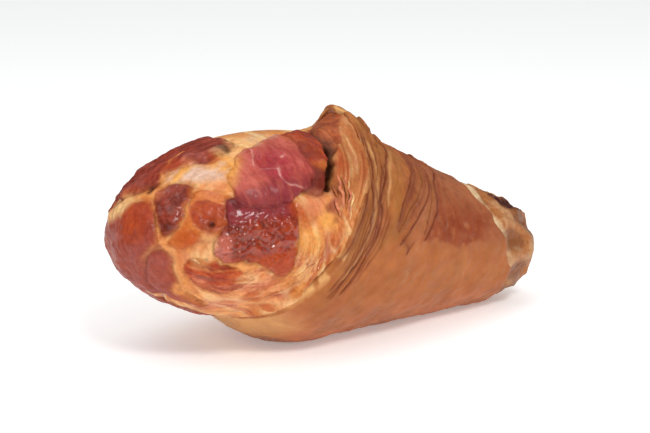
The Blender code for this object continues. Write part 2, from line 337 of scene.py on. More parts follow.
class FleshSettings(bpy.types.PropertyGroup):
    """Sizes and colours of the cut meat."""

    wrinkle: length("Wrinkle", "Height of the wrinkles on the glossy muscle", 1.05)
    fat_lump: length("Fat lump", "Height of the lumps of fat beside the collar", 0.8)
    lean: colour("Lean", "Big muscles at the cut end", "#963C2A")
    lean_rose: colour("Rose lean", "Lean under a dry pinkish skin", "#9C5044")
    lean_warm: colour("Warm lean", "Where the smoke has browned the cut end", "#A5421E")
    # Dried lean's own colour, and painted shade at muscle edges, round the hole and by the
    # crevice.
    dark_lean_and_shade: colour("Dark lean", "Dried lean of the small oval and the top edge", "#742A1C")
    lean_orange: colour("Orange lean", "Lean between the fat bands", "#AE4212")
    pink: colour("Pink", "The pink muscle", "#A03439")
    # Pale pink is the lobe's own colour at the wet muscle's end, and painted sheen on the pink
    # muscle.
    pale_pink_and_sheen: colour("Pale pink", "Where the pink muscle catches the brine", "#C26652")
    vein: colour("Vein", "Pale veins on the pink muscle", "#D89A8C")
    glossy: colour("Glossy", "The wet wrinkled muscle", "#96301A")
    glossy_purple: colour("Purple", "Purple edge of the wet muscle", "#842F34")
    gristle: colour("Gristle", "Rim of the cut joint", "#C26A2C")
    fat: colour("Fat", "Golden fat", "#DC9150")
    fat_gold: colour("Gold fat", "Clear golden fat under the membrane", "#DE9A4A")
    fat_cream: colour("Cream fat", "Palest fat", "#E8BC80")
    fat_peach: colour("Peach fat", "Fat that shows lean through it", "#CF7E58")
    fat_brown: colour("Brown fat", "Fat darkened by the smoke", "#B65A2C")
    roll: colour("Roll", "Cut edge of skin and fat inside the collar", "#AC6838")
    flap: colour("Flap", "Inner face of the flap", "#A8552E")
    # The membrane's milky colour, partly a painted sheen.
    sinew: colour("Sinew", "Milky membrane over the fat", "#D2AE98")
    # Painted shade in the gaps, creases, the joint's hole and the crack; dark clouds elsewhere.
    near_black_and_gap_shade: colour("Crevice", "Deep gaps between muscles", "#3A110A")


class RindSettings(bpy.types.PropertyGroup):
    """Sizes and colours of the skin."""

    pleat: length("Pleat", "Depth of the dark lines between the pleats", 1.2)
    wrinkle: length("Wrinkle", "Height of the fine wrinkles round the leg", 0.10)
    tan: colour("Tan", "Skin on the lower side", "#AC6433")
    # Rose is partly the skin's own colour where it lay on the table, partly painted light from
    # below.
    rose: colour("Rose", "Skin where it lies on the table", "#C27850")
    # Smoke is partly the skin's smoked brown, partly painted shade on the upper side.
    smoke: colour("Smoke", "Browner skin on the upper side", "#A2603E")
    gold: colour("Gold", "Golden smooth band beside the pleats", "#A06530")
    pleated: colour("Pleated", "Brown-gold ridges of the pleats", "#985F30")
    # Painted shade in the creases of the pleats, round the knobs and in the lip's hollow.
    crease_shade: colour("Groove", "Depths of the pleats", "#6E3016")
    # The second folds' own red-brown, and also painted shade beside creases and on the folds'
    # flanks.
    plum_and_fold_shade: colour("Plum", "Red-brown of the second folds", "#7C3E2A")
    stain: colour("Stain", "Reddish stain with a ragged edge", "#883414")
    lip: colour("Lip", "Cream rolled rim of the collar", "#D8A468")
    lip_brown: colour("Brown lip", "Browned streaks on the rim", "#A05828")
    inside: colour("Inside", "Inner face behind the rim", "#8C4426")


class KnuckleSettings(bpy.types.PropertyGroup):
    """Sizes and colours of the knuckle that stands out of the narrow end."""

    fold: length("Fold", "Height of the fat folds on the knuckle", 1.2)
    cream: colour("Cream", "Fat folds under the skin's edge", "#DCBC92")
    tan: colour("Tan", "Smoked sinew", "#A86A3A")
    # Also laid as painted shade in the folds' valleys, and as a dark patch low on the near side.
    scab: colour("Scab", "Dried blood on the knuckle's top", "#421618")


class StudioSettings(bpy.types.PropertyGroup):
    """The pale studio."""

    key_power: power("Key", "Power of the big soft light at the meat's end", 2.3)
    top_power: power("Top", "Power of the soft light overhead", 1.5)
    front_power: power("Front", "Power of the small light that makes the wet meat glint", 9.0)
    sky: bpy.props.FloatProperty(
        name="Sky", description="Strength of the even white light", min=0.0, default=0.68
    )
    floor: colour("Floor", "Pale floor", "#F3F4F4")


class ShankSettings(bpy.types.PropertyGroup):
    """All that a user would change."""

    flesh: bpy.props.PointerProperty(type=FleshSettings, name="Flesh")
    rind: bpy.props.PointerProperty(type=RindSettings, name="Rind")
    knuckle: bpy.props.PointerProperty(type=KnuckleSettings, name="Knuckle")
    studio: bpy.props.PointerProperty(type=StudioSettings, name="Studio")


def smoothstep(x):
    """0 below 0, 1 above 1, and a smooth rise between."""
    t = np.clip(x, 0.0, 1.0)
    return t * t * (3 - 2 * t)


def bell(x, spread):
    """1 at 0, falling off smoothly to either side."""
    return np.exp(-((x / spread) ** 2))


def turned(theta, middle):
    """Signed angle in degrees from middle, for theta in radians."""
    return (np.degrees(theta) - middle + 180.0) % 360.0 - 180.0


def ripple(points, size, seed, count=14):
    """Even random waves, each bump about size across, with a spread of 1 about 0."""
    draw = np.random.default_rng(seed)
    heading = draw.normal(size=(count, points.shape[-1]))
    heading /= np.linalg.norm(heading, axis=1)[:, None]
    pace = math.pi / size * draw.uniform(0.65, 1.35, (count, 1))
    start = draw.uniform(0, 2 * math.pi, count)
    return np.sin(points @ (heading * pace).T + start).sum(axis=-1) / math.sqrt(count / 2)


def mottle(points, size, seed):
    """Ripples of three sizes on top of one another."""
    coarse = ripple(points, size, seed)
    middle = ripple(points, size / 2.1, seed + 1)
    fine = ripple(points, size / 4.3, seed + 2)
    return (coarse + 0.55 * middle + 0.3 * fine) / 1.18


def lay(paint, mask, shade):
    """Lays a colour over the paint as thickly as the mask says."""
    paint += (np.asarray(shade) - paint) * np.clip(mask, 0.0, 1.0)[..., None]


def along_sections(table, x, column):
    """Smooth curve through one column of a table of sections."""
    places, values = table[:, 0], table[:, column]
    slopes = np.gradient(values, places)
    index = np.clip(np.searchsorted(places, x) - 1, 0, len(places) - 2)
    span = places[index + 1] - places[index]
    t = np.clip((x - places[index]) / span, 0.0, 1.0)
    return (
        values[index] * (2 * t**3 - 3 * t**2 + 1)
        + slopes[index] * span * (t**3 - 2 * t**2 + t)
        + values[index + 1] * (3 * t**2 - 2 * t**3)
        + slopes[index + 1] * span * (t**3 - t**2)
    )


def deselect_all():
    """Leaves edit mode and lets go of every object."""
    if bpy.context.object and bpy.context.object.mode != "OBJECT":
        bpy.ops.object.mode_set(mode="OBJECT")
    bpy.ops.object.select_all(action="DESELECT")


def drawn_sphere(name, places, finish):
    """A UV sphere drawn out to rings of places, with its finish as attributes.

    places has one row of points for each ring, the poles' rows included. Each array of the finish
    has the same rows and columns.
    """
    rings, columns = places.shape[0] - 1, places.shape[1]
    deselect_all()
    bpy.ops.mesh.primitive_uv_sphere_add(segments=columns, ring_count=rings, radius=1.0)
    piece = bpy.context.object
    piece.name = piece.data.name = name
    mesh = piece.data
    ball = np.empty(len(mesh.vertices) * 3, np.float32)
    mesh.vertices.foreach_get("co", ball)
    ball = ball.reshape(-1, 3).astype(float)
    ring = np.rint(np.arccos(np.clip(ball[:, 2], -1, 1)) / math.pi * rings).astype(int)
    turn = np.arctan2(ball[:, 1], ball[:, 0]) / (2 * math.pi)
    column = np.rint(turn * columns).astype(int) % columns
    spots = (places[ring, column] + CENTRE_SHIFT) * MM
    mesh.vertices.foreach_set("co", spots.astype(np.float32).ravel())
    for key, values in finish.items():
        picked = values[ring, column]
        if picked.ndim == 1:
            field = mesh.attributes.new(key, "FLOAT", "POINT")
            field.data.foreach_set("value", picked.astype(np.float32))
        elif key == "flow":
            field = mesh.attributes.new(key, "FLOAT_VECTOR", "POINT")
            field.data.foreach_set("vector", (picked * MM).astype(np.float32).ravel())
        else:
            field = mesh.attributes.new(key, "FLOAT_COLOR", "POINT")
            opaque = np.concatenate([picked, np.ones((len(picked), 1))], axis=1)
            field.data.foreach_set("color", opaque.astype(np.float32).ravel())
    mesh.update()
    bpy.ops.object.mode_set(mode="EDIT")
    bpy.ops.mesh.select_all(action="SELECT")
    bpy.ops.mesh.normals_make_consistent(inside=False)
    bpy.ops.object.mode_set(mode="OBJECT")
    bpy.ops.object.shade_smooth()
    return piece


def settle(piece, material):
    """Gives a finished piece its material and its place in the frame."""
    piece.data.materials.clear()
    piece.data.materials.append(material)
    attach(piece, "root")
    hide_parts("shank")


def add_node(tree, kind, settings, sockets):
    """Adds a node with its settings, and fills or links its sockets by name or number."""
    node = tree.nodes.new("ShaderNode" + kind)
    for key, value in settings.items():
        setattr(node, key, value)
    for key, value in sockets.items():
        if isinstance(value, bpy.types.NodeSocket):
            tree.links.new(value, node.inputs[key])
        else:
            node.inputs[key].default_value = value
    return node


# ---------------------------------------------------------------- the flesh


def core_frame(along, around):
    """A place on the core, with its outward, lengthwise and roundabout directions."""
    theta = math.radians(around)
    offset = along - CORE_CENTRE[0]
    ring = math.sqrt(max(0.0, 1 - (offset / CORE_SIZES[0]) ** 2))
    spot = np.array(
        (
            offset,
            -ring * CORE_SIZES[1] * math.cos(theta),
            ring * CORE_SIZES[2] * math.sin(theta),
        )
    )
    normal = spot / CORE_SIZES**2
    normal /= np.linalg.norm(normal)
    roundabout = np.array((0.0, math.sin(theta), math.cos(theta)))
    roundabout -= normal * (roundabout @ normal)
    roundabout /= np.linalg.norm(roundabout)
    return CORE_CENTRE + spot, normal, np.cross(normal, roundabout), roundabout


def flat_places(points, along, around):
    """Places seen straight on from outside a place on the core: towards the meat's end, and up."""
    spot, normal, lengthwise, roundabout = core_frame(along, around)
    away = points - spot
    return away @ lengthwise, away @ roundabout, away @ normal


def rounded(corners, closed, steps=3):
    """A smooth curve through corners, as a row of places."""
    corners = np.asarray(corners, float)
    if closed:
        ends = corners[-1:], corners[:2]
    else:
        ends = corners[:1], corners[-1:]
    line = np.concatenate([ends[0], corners, ends[1]])
    before, start, stop, after = line[:-3], line[1:-2], line[2:-1], line[3:]
    places = []
    for t in np.arange(steps) / steps:
        swing = 2 * before - 5 * start + 4 * stop - after
        bend = 3 * (start - stop) + after - before
        places.append(start + 0.5 * t * (stop - before + t * (swing + t * bend)))
    return np.concatenate([np.stack(places, axis=1).reshape(-1, corners.shape[1]), line[-2:-1]])


def over_outline(points, outline):
    """How far inside a closed outline on the core each point is, and its place on the outline.

    The depth is below 0 outside. The place is from the outline's middle towards the meat's end,
    and up.
    """
    spots = np.array([core_frame(along, around)[0] for along, around in outline])
    middle = spots.mean(axis=0) - CORE_CENTRE
    middle /= np.linalg.norm(middle / CORE_SIZES)
    along = middle[0] + CORE_CENTRE[0]
    around = math.degrees(math.atan2(middle[2] / CORE_SIZES[2], -middle[1] / CORE_SIZES[1]))
    corners = np.stack(flat_places(spots, along, around)[:2], axis=1)
    left, up, out = flat_places(points, along, around)
    span = np.linalg.norm(corners, axis=1).max() + 14.0
    near = (np.hypot(left, up) < span) & (out > -0.9 * span)
    place = np.stack([left[near], up[near]], axis=1)
    curve = rounded(corners, True)
    nearest = np.full(len(place), np.inf)
    inside = np.zeros(len(place), bool)
    for start, stop in zip(curve, curve[1:]):
        side = stop - start
        t = np.clip((place - start) @ side / max(side @ side, 1e-9), 0, 1)
        nearest = np.minimum(nearest, np.linalg.norm(place - start - t[:, None] * side, axis=1))
        crosses = (start[1] > place[:, 1]) != (stop[1] > place[:, 1])
        level = (place[:, 1] - start[1]) / np.where(side[1] == 0, 1.0, side[1])
        inside ^= crosses & (place[:, 0] < start[0] + level * side[0])
    depth = np.full(len(points), -99.0)
    depth[near] = np.where(inside, nearest, -nearest)
    return depth, left, up


def spot_mask(points, along, around, radius, edge=0.5):
    """1 on a round patch of the core, 0 away from it."""
    spot = core_frame(along, around)[0]
    gap = np.linalg.norm(points - spot, axis=1) / radius
    return 1 - smoothstep((gap - 1 + edge) / (2 * edge))


def line_distance(points, route):
    """Distance from each point to a smooth line through places on the core."""
    spots = rounded([core_frame(along, around)[0] for along, around in route], False)
    nearest = np.full(len(points), np.inf)
    for start, stop in zip(spots, spots[1:]):
        span = stop - start
        t = np.clip((points - start) @ span / max(span @ span, 1e-9), 0, 1)
        nearest = np.minimum(nearest, np.linalg.norm(points - start - t[:, None] * span, axis=1))
    return nearest


def collar_angle(points):
    """Angle round the sleeve of places on or near the meat."""
    x = points[..., 0]
    up = (points[..., 2] - along_sections(SLEEVE, x, 3)) / along_sections(SLEEVE, x, 2)
    return np.arctan2(up, -points[..., 1] / along_sections(SLEEVE, x, 1))


def collar_x(theta):
    """Where the collar's edge is along the leg."""
    bow = COLLAR_BOW * bell(turned(theta, COLLAR_BOW_ANGLE), COLLAR_BOW_SPREAD)
    lean = FLAP_LEAN * bell(turned(theta, FLAP_ANGLE), FLAP_SPREAD)
    return COLLAR_X + COLLAR_SLANT * np.sin(theta) + bow - lean


def shades(points, base, size, seed, *layers):
    """A base colour clouded with others: each layer is a colour, its strength and its bias."""
    paint = np.tile(np.array(base), (len(points), 1))
    for step, (shade, strength, bias) in enumerate(layers):
        cloud = mottle(points, size, seed + 7 * step)
        lay(paint, strength * smoothstep(bias + 0.6 * cloud), shade)
    return paint


def threads(flow, size, seed):
    """Fine lines through a flow: 1 along them, 0 between them."""
    return np.clip(1 - 2.4 * np.abs(ripple(flow, size, seed)), 0, 1)


def sweep(points):
    """Places as seen by the strands round the glossy muscle, which run along the last two."""
    left, up = flat_places(points, *SWEEP_MIDDLE)[:2]
    ring = np.hypot(left, up * 1.1) + 1.5 * ripple(points, 17.0, 31)
    turn = np.arctan2(up, left)
    return np.stack([ring, SWEEP_PULL * np.cos(turn), SWEEP_PULL * np.sin(turn)], axis=1)


def fat_surface(points, s):
    """Golden fat, streaked cream, peach and brown round the glossy muscle, lumpy by the collar."""
    flow = sweep(points)
    streak = mottle(flow, 4.2, 11)
    cloud = mottle(points, 13.0, 13)
    swept = smoothstep((54.0 - points[:, 2] + 0.35 * (points[:, 0] + 90)) / 14.0)
    paint = np.tile(np.array(s.fat), (len(points), 1))
    lay(paint, 0.42 * smoothstep(0.3 + 0.7 * cloud) * (0.4 + 0.6 * swept), s.fat_peach)
    lay(paint, 0.8 * smoothstep(-0.15 + 0.9 * streak), s.fat_cream)
    lay(paint, 0.75 * swept * smoothstep(-0.35 - 0.9 * streak), s.fat_brown)
    # Thin cream lines: partly pale strands of fat, partly painted glints along them.
    lay(paint, 0.6 * swept * threads(flow, 3.2, 35), s.fat_cream)
    beside = smoothstep((points[:, 0] + 72.0) / 12.0) * smoothstep((62.0 - points[:, 2]) / 16.0)
    lumps = np.abs(mottle(flow * (1.0, 1.8, 1.8), 2.8, 33)) - 0.8
    lay(paint, 0.8 * beside * smoothstep((-0.35 - lumps) / 0.4), s.lean_orange)
    lay(paint, 0.7 * beside * smoothstep(lumps), s.fat_cream)
    height = 0.35 * swept * streak + 1.3 * s.fat_lump / MM * lumps * beside
    rough = 0.32 + 0.05 * streak - 0.18 * beside
    return height, paint, rough, flow, 0.25 + 0.4 * swept


# Each muscle's finish gives its relief, paint and roughness. It is told the places, how far they
# are from the outline's middle towards the meat's end (a) and up (b), how deep they are inside the
# outline, and the settings.


def finish_lean(points, a, b, depth, s):
    """Big smooth muscles: fine grain along the leg, browned towards the upper middle."""
    grain = ripple(points * (0.25, 1.0, 1.0), 1.8, 41)
    detail = 0.35 * ripple(points, 9.0, 42) + 0.10 * grain + 0.12 * mottle(points, 2.6, 45)
    paint = shades(points, s.lean, 8.0, 43, (s.lean_warm, 0.8, 0.3), (s.dark_lean_and_shade, 0.45, 0.0))
    lay(paint, 0.5 * smoothstep(-0.1 + 0.6 * mottle(points, 2.2, 46)), s.lean_rose)
    lay(paint, 0.3 * smoothstep(0.4 * grain), s.dark_lean_and_shade)
    return detail, paint, 0.38 + 0.04 * grain


def finish_top_back(points, a, b, depth, s):
    """Browner lean with long grain, dry dark patches, and painted shade along its edges."""
    grain = ripple(points * (0.2, 1.0, 1.0), 1.6, 51)
    strand = mottle(points * (0.35, 1.0, 1.0), 4.0, 55)
    detail = 0.4 * ripple(points, 8.0, 52) + 0.16 * grain + 0.3 * strand
    paint = shades(points, s.lean, 6.0, 53, (s.dark_lean_and_shade, 0.7, 0.25), (s.lean_rose, 0.45, 0.0))
    lay(paint, 0.5 * smoothstep(0.5 * grain), s.dark_lean_and_shade)
    lay(paint, 0.5 * smoothstep(-0.1 - 0.7 * strand), s.dark_lean_and_shade)
    # Painted shade: darker within 3 mm of the outline.
    lay(paint, 0.45 * smoothstep((3.0 - depth) / 3.0), s.dark_lean_and_shade)
    return detail, paint, 0.46 + 0.04 * grain


def finish_dark_oval(points, a, b, depth, s):
    """A small dry muscle, nearly liver brown, milky at its top."""
    knots = mottle(points, 4.0, 71)
    paint = shades(points, s.dark_lean_and_shade, 4.0, 72, (s.lean, 0.75, 0.25), (s.near_black_and_gap_shade, 0.35, -0.2))
    lay(paint, 0.55 * smoothstep((b - 2.0) / 7.0), s.lean_rose)
    lay(paint, 0.5 * smoothstep((2.0 - depth) / 2.0), s.lean_warm)
    return 0.3 * knots, paint, 0.24 + 0.05 * ripple(points, 2.0, 73)


def finish_joint(points, a, b, depth, s):
    """The cut joint's rim: smooth golden gristle, orange below."""
    knots = mottle(points, 3.4, 83)
    paint = shades(points, s.gristle, 5.0, 82, (s.fat, 0.3, -0.1), (s.fat_brown, 0.4, -0.1))
    lay(paint, 0.4 * smoothstep((-1.0 - b) / 6.0), s.fat_brown)
    lay(paint, 0.3 * smoothstep(-0.4 - 0.6 * knots), s.lean_orange)
    return 0.22 * knots, paint, 0.33 + 0.05 * knots


def finish_marrow(points, a, b, depth, s):
    """The joint's porous red-brown middle."""
    pores = ripple(points, 1.7, 81)
    knots = mottle(points, 4.0, 84)
    paint = shades(points, s.lean_warm, 3.4, 85, (s.lean, 0.6, 0.1), (s.fat_brown, 0.5, 0.0))
    lay(paint, 0.25 * smoothstep(0.6 * pores - 0.2), s.dark_lean_and_shade)
    lay(paint, 0.5 * smoothstep((-1.0 - b) / 5.0), s.fat_brown)
    return 0.10 * pores + 0.15 * knots, paint, 0.32 + 0.04 * pores


def finish_striated(points, a, b, depth, s):
    """Lean strands side by side, with pale lines of fat between them."""
    bent = b - 0.012 * a * a
    stretched = np.stack([a * 0.13, bent, b * 0], axis=1)
    bands = ripple(stretched, 2.0, 91)
    thread = ripple(stretched, 1.3, 92)
    warm, brown = (s.lean_warm, 0.6, 0.2), (s.fat_brown, 0.5, 0.0)
    paint = shades(points, s.lean_orange, 5.0, 93, warm, brown)
    lay(paint, 0.5 * bell(bent - 5.0, 1.2), s.dark_lean_and_shade)
    lay(paint, 0.7 * bell(bent - 3.0 - 0.4 * ripple(points, 6.0, 94), 0.4), s.fat)
    lay(paint, 0.5 * smoothstep((thread - 0.9) / 0.6), s.fat_brown)
    lay(paint, 0.3 * smoothstep((-0.4 - bands) / 0.8), s.dark_lean_and_shade)
    return 0.25 * bands + 0.10 * thread, paint, 0.30 + 0.05 * thread


def finish_behind_pink(points, a, b, depth, s):
    """Smooth brown-red muscle behind the pink one, painted with shade by the cleft, nearly black
    in it.
    """
    detail = 0.35 * mottle(points, 6.0, 101)
    paint = shades(points, s.lean, 6.0, 102, (s.lean_warm, 0.7, 0.2), (s.fat_brown, 0.4, -0.15))
    # Painted shade: darker along the edge by the cleft and towards the bottom, nearly black in it.
    lay(paint, 0.75 * smoothstep((3.6 - depth) / 3.0) * smoothstep((4.0 - a) / 6.0), s.dark_lean_and_shade)
    lay(paint, 0.85 * smoothstep((-7.0 - b) / 5.0), s.dark_lean_and_shade)
    lay(paint, 0.35 * smoothstep((-11.0 - b) / 4.0), s.near_black_and_gap_shade)
    return detail, paint, 0.36 + 0.03 * ripple(points, 3.0, 103)


def finish_glossy(points, a, b, depth, s):
    """Wet wrinkled muscle: purple at the top, brown-red below, a pink lobe at its end."""
    pull = np.stack([ripple(points, 5.0, seed) for seed in (114, 115, 116)], axis=1)
    pulled = points + 1.1 * pull
    folds = np.abs(ripple(pulled, 2.6, 111)) - 0.8
    small = np.abs(ripple(pulled, 1.5, 112)) - 0.8
    calm = smoothstep((b - 6.0) / 5.0)
    lively = (1 - 0.8 * calm) * (0.55 + 0.45 * smoothstep((a + 12.0) / 8.0))
    detail = s.wrinkle / MM * (0.55 * folds + 0.45 * small) * lively
    paint = shades(points, s.glossy, 4.0, 113, (s.lean_warm, 0.7, 0.2), (s.dark_lean_and_shade, 0.6, 0.1))
    # Painted shade: near black in the wrinkles' valleys.
    lay(paint, 0.45 * lively * smoothstep((-0.45 - folds) / 0.3), s.near_black_and_gap_shade)
    lay(paint, 0.3 * smoothstep((small - 0.3) / 0.6), s.lean_orange)
    browned = smoothstep((a + 3.0) / 10.0) * smoothstep((b + 7.0) / 8.0)
    lay(paint, 0.5 * browned, s.dark_lean_and_shade)
    lay(paint, 0.9 * calm, s.glossy_purple)
    lay(paint, 0.45 * calm * smoothstep(-0.1 - mottle(points, 4.4, 117)), s.near_black_and_gap_shade)
    lay(paint, 0.8 * smoothstep((a - 8.5) / 3.0) * smoothstep((5.0 - b) / 4.0), s.pale_pink_and_sheen)
    lay(paint, 0.8 * smoothstep((-5.0 - b) / 4.0) * smoothstep((4.0 - a) / 6.0), s.lean_orange)
    rough = 0.11 + 0.10 * calm + 0.14 * smoothstep((-4.0 - b) / 4.0)
    return detail, paint, rough


def finish_pink(points, a, b, depth, s):
    """Fresh pink muscle under a tight skin, with a shallow dimple in its middle."""
    fibre = ripple(np.stack([a, 0.25 * b, 0 * a], axis=1), 1.6, 128)
    detail = 0.35 * ripple(points, 8.0, 122) + 0.06 * fibre
    detail -= 0.9 * bell(np.hypot(a - 2, b - 1), 5.0)
    paint = shades(points, s.pink, 6.0, 123, (s.pale_pink_and_sheen, 0.4, 0.0), (s.glossy_purple, 0.3, -0.1))
    # Painted sheen: paler towards both ends and the top.
    lay(paint, 0.65 * smoothstep((a - 3.0) / 12.0), s.pale_pink_and_sheen)
    lay(paint, 0.5 * smoothstep((b - 5.0) / 9.0), s.pale_pink_and_sheen)
    lay(paint, 0.35 * smoothstep((-4.0 - a) / 8.0), s.pale_pink_and_sheen)
    lay(paint, 0.8 * smoothstep((-5.0 - b) / 6.0), s.glossy_purple)
    lay(paint, 0.25 * smoothstep(0.8 * fibre), s.pale_pink_and_sheen)
    rough = 0.36 + 0.04 * ripple(points, 4.0, 127) + 0.12 * smoothstep((-1.0 - b) / 4.0)
    return detail, paint, rough


MUSCLE_FINISH = {
    "top back": finish_top_back,
    "far side": finish_top_back,
    "under": finish_lean,
    "left end": finish_lean,
    "heart": finish_lean,
    "dark oval": finish_dark_oval,
    "joint": finish_joint,
    "marrow": finish_marrow,
    "striated": finish_striated,
    "behind pink": finish_behind_pink,
    "glossy": finish_glossy,
    "pink": finish_pink,
}


def flesh_surface(points, ray, s):
    """Places of the flesh's surface over points on the core, and its finish."""
    warp = np.stack([ripple(points, 7.0, seed) for seed in (21, 22, 23)], axis=1) * 0.45
    warp += np.stack([ripple(points, 2.6, seed) for seed in (24, 25, 26)], axis=1) * 0.22
    bent = points + warp
    height, paint, rough, flow, grain = fat_surface(points, s)
    masks = {}
    for name, rise, edge, crease, line, (heading, drawn, strength), outline in MUSCLES:
        depth, a, b = over_outline(bent, outline)
        inside = smoothstep(0.5 + depth / 1.2)
        round_edge = 1 - np.clip(depth / edge, 0, 1)
        dome = rise * np.sqrt(1 - round_edge**2)
        detail, shade, gloss = MUSCLE_FINISH[name](points, a, b, depth, s)
        height = height * (1 - inside) + (dome + detail) * inside - crease * bell(depth + 0.3, 1.5)
        paint += (shade - paint) * inside[:, None]
        rough += (gloss - rough) * inside
        grain += (strength - grain) * inside
        run = a * math.cos(math.radians(heading)) + b * math.sin(math.radians(heading))
        side = b * math.cos(math.radians(heading)) - a * math.sin(math.radians(heading))
        grained = np.stack([run * drawn, side, 0.3 * points[:, 0]], axis=1)
        flow[inside > 0.5] = grained[inside > 0.5]
        # Painted shade: near black along the crease round the muscle's outline.
        lay(paint, line * bell(depth + 0.2, 0.9), s.near_black_and_gap_shade)
        for other in masks:
            masks[other] = masks[other] * (1 - inside)
        masks[name] = inside
    height, paint, rough = flesh_marks(points, bent, height, paint, rough, masks, s)
    places = points + ray * height[:, None]
    finish = {"paint": paint, "rough": rough, "flow": flow, "grain": grain}
    places = collar_faces(points, bent, places, finish, s)
    places[:, 2] = np.maximum(places[:, 2], 0.0)
    return places, finish


def flesh_marks(points, bent, height, paint, rough, masks, s):
    """Fat seams, veins, colour dabs, the joint's hole in painted shade, and the milky,
    sheen-painted membrane.
    """
    for route, width, rise in FAT_SEAMS:
        away = line_distance(bent, route)
        line = bell(away, width)
        height = height + rise * line
        lay(paint, 0.85 * line, s.fat)
        lay(paint, 0.4 * bell(away - 1.5 * width, 0.7 * width), s.fat_brown)
    pink = masks["pink"]
    for route, width in PINK_VEINS:
        line = bell(line_distance(bent, route), width) * pink
        height = height - 0.25 * line
        lay(paint, 0.8 * line, s.vein)
    for along, around, radius, shade, strength in DABS:
        lay(paint, strength * spot_mask(bent, along, around, radius, 0.55), getattr(s, shade))
    hole = spot_mask(points, *JOINT_HOLE, 1.2, 0.7)
    # Painted shade: dark red round the hole and near black in it.
    height = height - 1.6 * hole
    lay(paint, 0.5 * spot_mask(points, *JOINT_HOLE, 3.4, 0.7), s.dark_lean_and_shade)
    lay(paint, 0.85 * hole, s.near_black_and_gap_shade)
    milk = smoothstep((over_outline(bent, MEMBRANE)[0] + 1.5) / 5.0) * (1 - pink)
    milk *= 1 - 0.75 * masks["dark oval"]
    # The cloudy milky white is partly the membrane's own colour and partly a painted sheen.
    cloudy = smoothstep(0.6 + 0.5 * mottle(points * (0.6, 1, 1), 8.0, 131))
    lay(paint, 0.85 * milk, s.fat_gold)
    lay(paint, 0.9 * milk * cloudy, s.sinew)
    height = height * (1 - 0.8 * milk) + 1.0 * milk
    rough = rough * (1 - milk) + 0.24 * milk
    return height, paint, rough


def collar_faces(points, bent, places, finish, s):
    """Places and finish of the cut faces in the lip: the flap's brown one and the cream roll."""
    theta = collar_angle(points)
    degrees = turned(theta, 0.0)
    edge = collar_x(theta)
    gap = np.maximum(edge - points[:, 0], 0.0)
    under = np.maximum(points[:, 0] - edge, 0.0)
    sunk = SUNK_AT_COLLAR + SUNK_SLOPE * np.minimum(under, SUNK_REACH)
    rim = sleeve_point(np.maximum(points[:, 0], edge), theta, flap_rise(theta, under) - sunk)
    outward = np.stack([0 * theta, -np.cos(theta), np.sin(theta)], axis=1)
    flat = np.stack([gap, degrees * 0.13, degrees * 0], axis=1)
    on_face = smoothstep(0.5 + over_outline(bent, FLAP_FACE)[0] / 1.2)
    step = smoothstep((degrees - 12.0) / 26.0)
    strand = ripple(flat, 1.6, 142)
    lump = mottle(flat, 4.4, 143)
    inner = line_distance(bent, INNER_EDGE)
    share = (inner / (inner + gap + 0.01))[:, None]
    swell = (0.22 * strand + 0.5 * lump) * (0.3 + 0.7 * step) * (1 - 0.2 * on_face)
    swell += 0.5 + 3.4 * step * (1 - share[:, 0]) * (1 - on_face)
    swell += on_face * (1.6 * np.sin(math.pi * share[:, 0]) - 1.2)
    cut = rim * share + points * (1 - share) + outward * (swell * smoothstep(gap / 3.0))[:, None]
    cut[:, 0] = points[:, 0]
    depth = over_outline(bent, COLLAR_FACES)[0]
    on_cut = smoothstep(0.5 + depth / (1.3 + 5.0 * (1 - step)))
    on_rim = smoothstep((RIM_WIDTH - gap) / 5.0)
    shown = np.maximum(on_cut, on_rim)[:, None]
    low = rim * on_rim[:, None] + points * (1 - on_rim[:, None])
    low[:, 0] = points[:, 0]
    cut = cut * on_cut[:, None] + low * (1 - on_cut[:, None])
    places = places * (1 - shown) + cut * shown
    crack = bell(line_distance(bent, CREVICE), CREVICE_WIDTH)
    places -= outward * (CREVICE_DEPTH * crack)[:, None]

    paint = finish["paint"]
    creamy = np.tile(np.array(s.roll), (len(points), 1))
    lay(creamy, 0.65 * smoothstep(0.3 + 0.8 * lump), s.fat_brown)
    lay(creamy, 0.25 * smoothstep(-0.3 - 0.8 * lump), s.fat_cream)
    lay(creamy, 0.25 * smoothstep(-0.1 + 0.7 * strand), s.fat_cream)
    lay(creamy, 0.5 * threads(flat, 3.0, 144), s.lean_warm)
    blotch = mottle(bent, 5.0, 151)
    brown = shades(points, s.flap, 4.0, 152, (s.fat_brown, 0.5, 0.0), (s.dark_lean_and_shade, 0.4, -0.1))
    # Painted shade: the brown face darkens towards the crevice, near black beside it.
    deep = smoothstep((9.0 - inner) / 8.0) * smoothstep((88.0 - degrees) / 14.0)
    lay(brown, 0.55 * smoothstep(0.9 * mottle(bent, 2.6, 153)), s.dark_lean_and_shade)
    lay(brown, 0.8 * deep * smoothstep(0.8 + 0.5 * blotch), s.dark_lean_and_shade)
    lay(brown, 0.92 * deep * smoothstep((8.5 - inner) / 6.0 + 0.3 * blotch), s.near_black_and_gap_shade)
    creamy += (brown - creamy) * on_face[:, None]
    thick = on_cut * (0.25 + 0.7 * step)
    paint += (creamy - paint) * thick[:, None]
    # Painted shade: near black in the crack.
    lay(paint, 0.95 * smoothstep(2.2 * crack), s.near_black_and_gap_shade)
    finish["rough"] += (0.42 - finish["rough"]) * on_cut * step
    finish["rough"] = np.clip(finish["rough"], 0.1, 0.8)
    finish["flow"][thick > 0.5] = flat[thick > 0.5]
    finish["grain"] += (0.5 - 0.2 * on_face - finish["grain"]) * on_cut * step
    return places


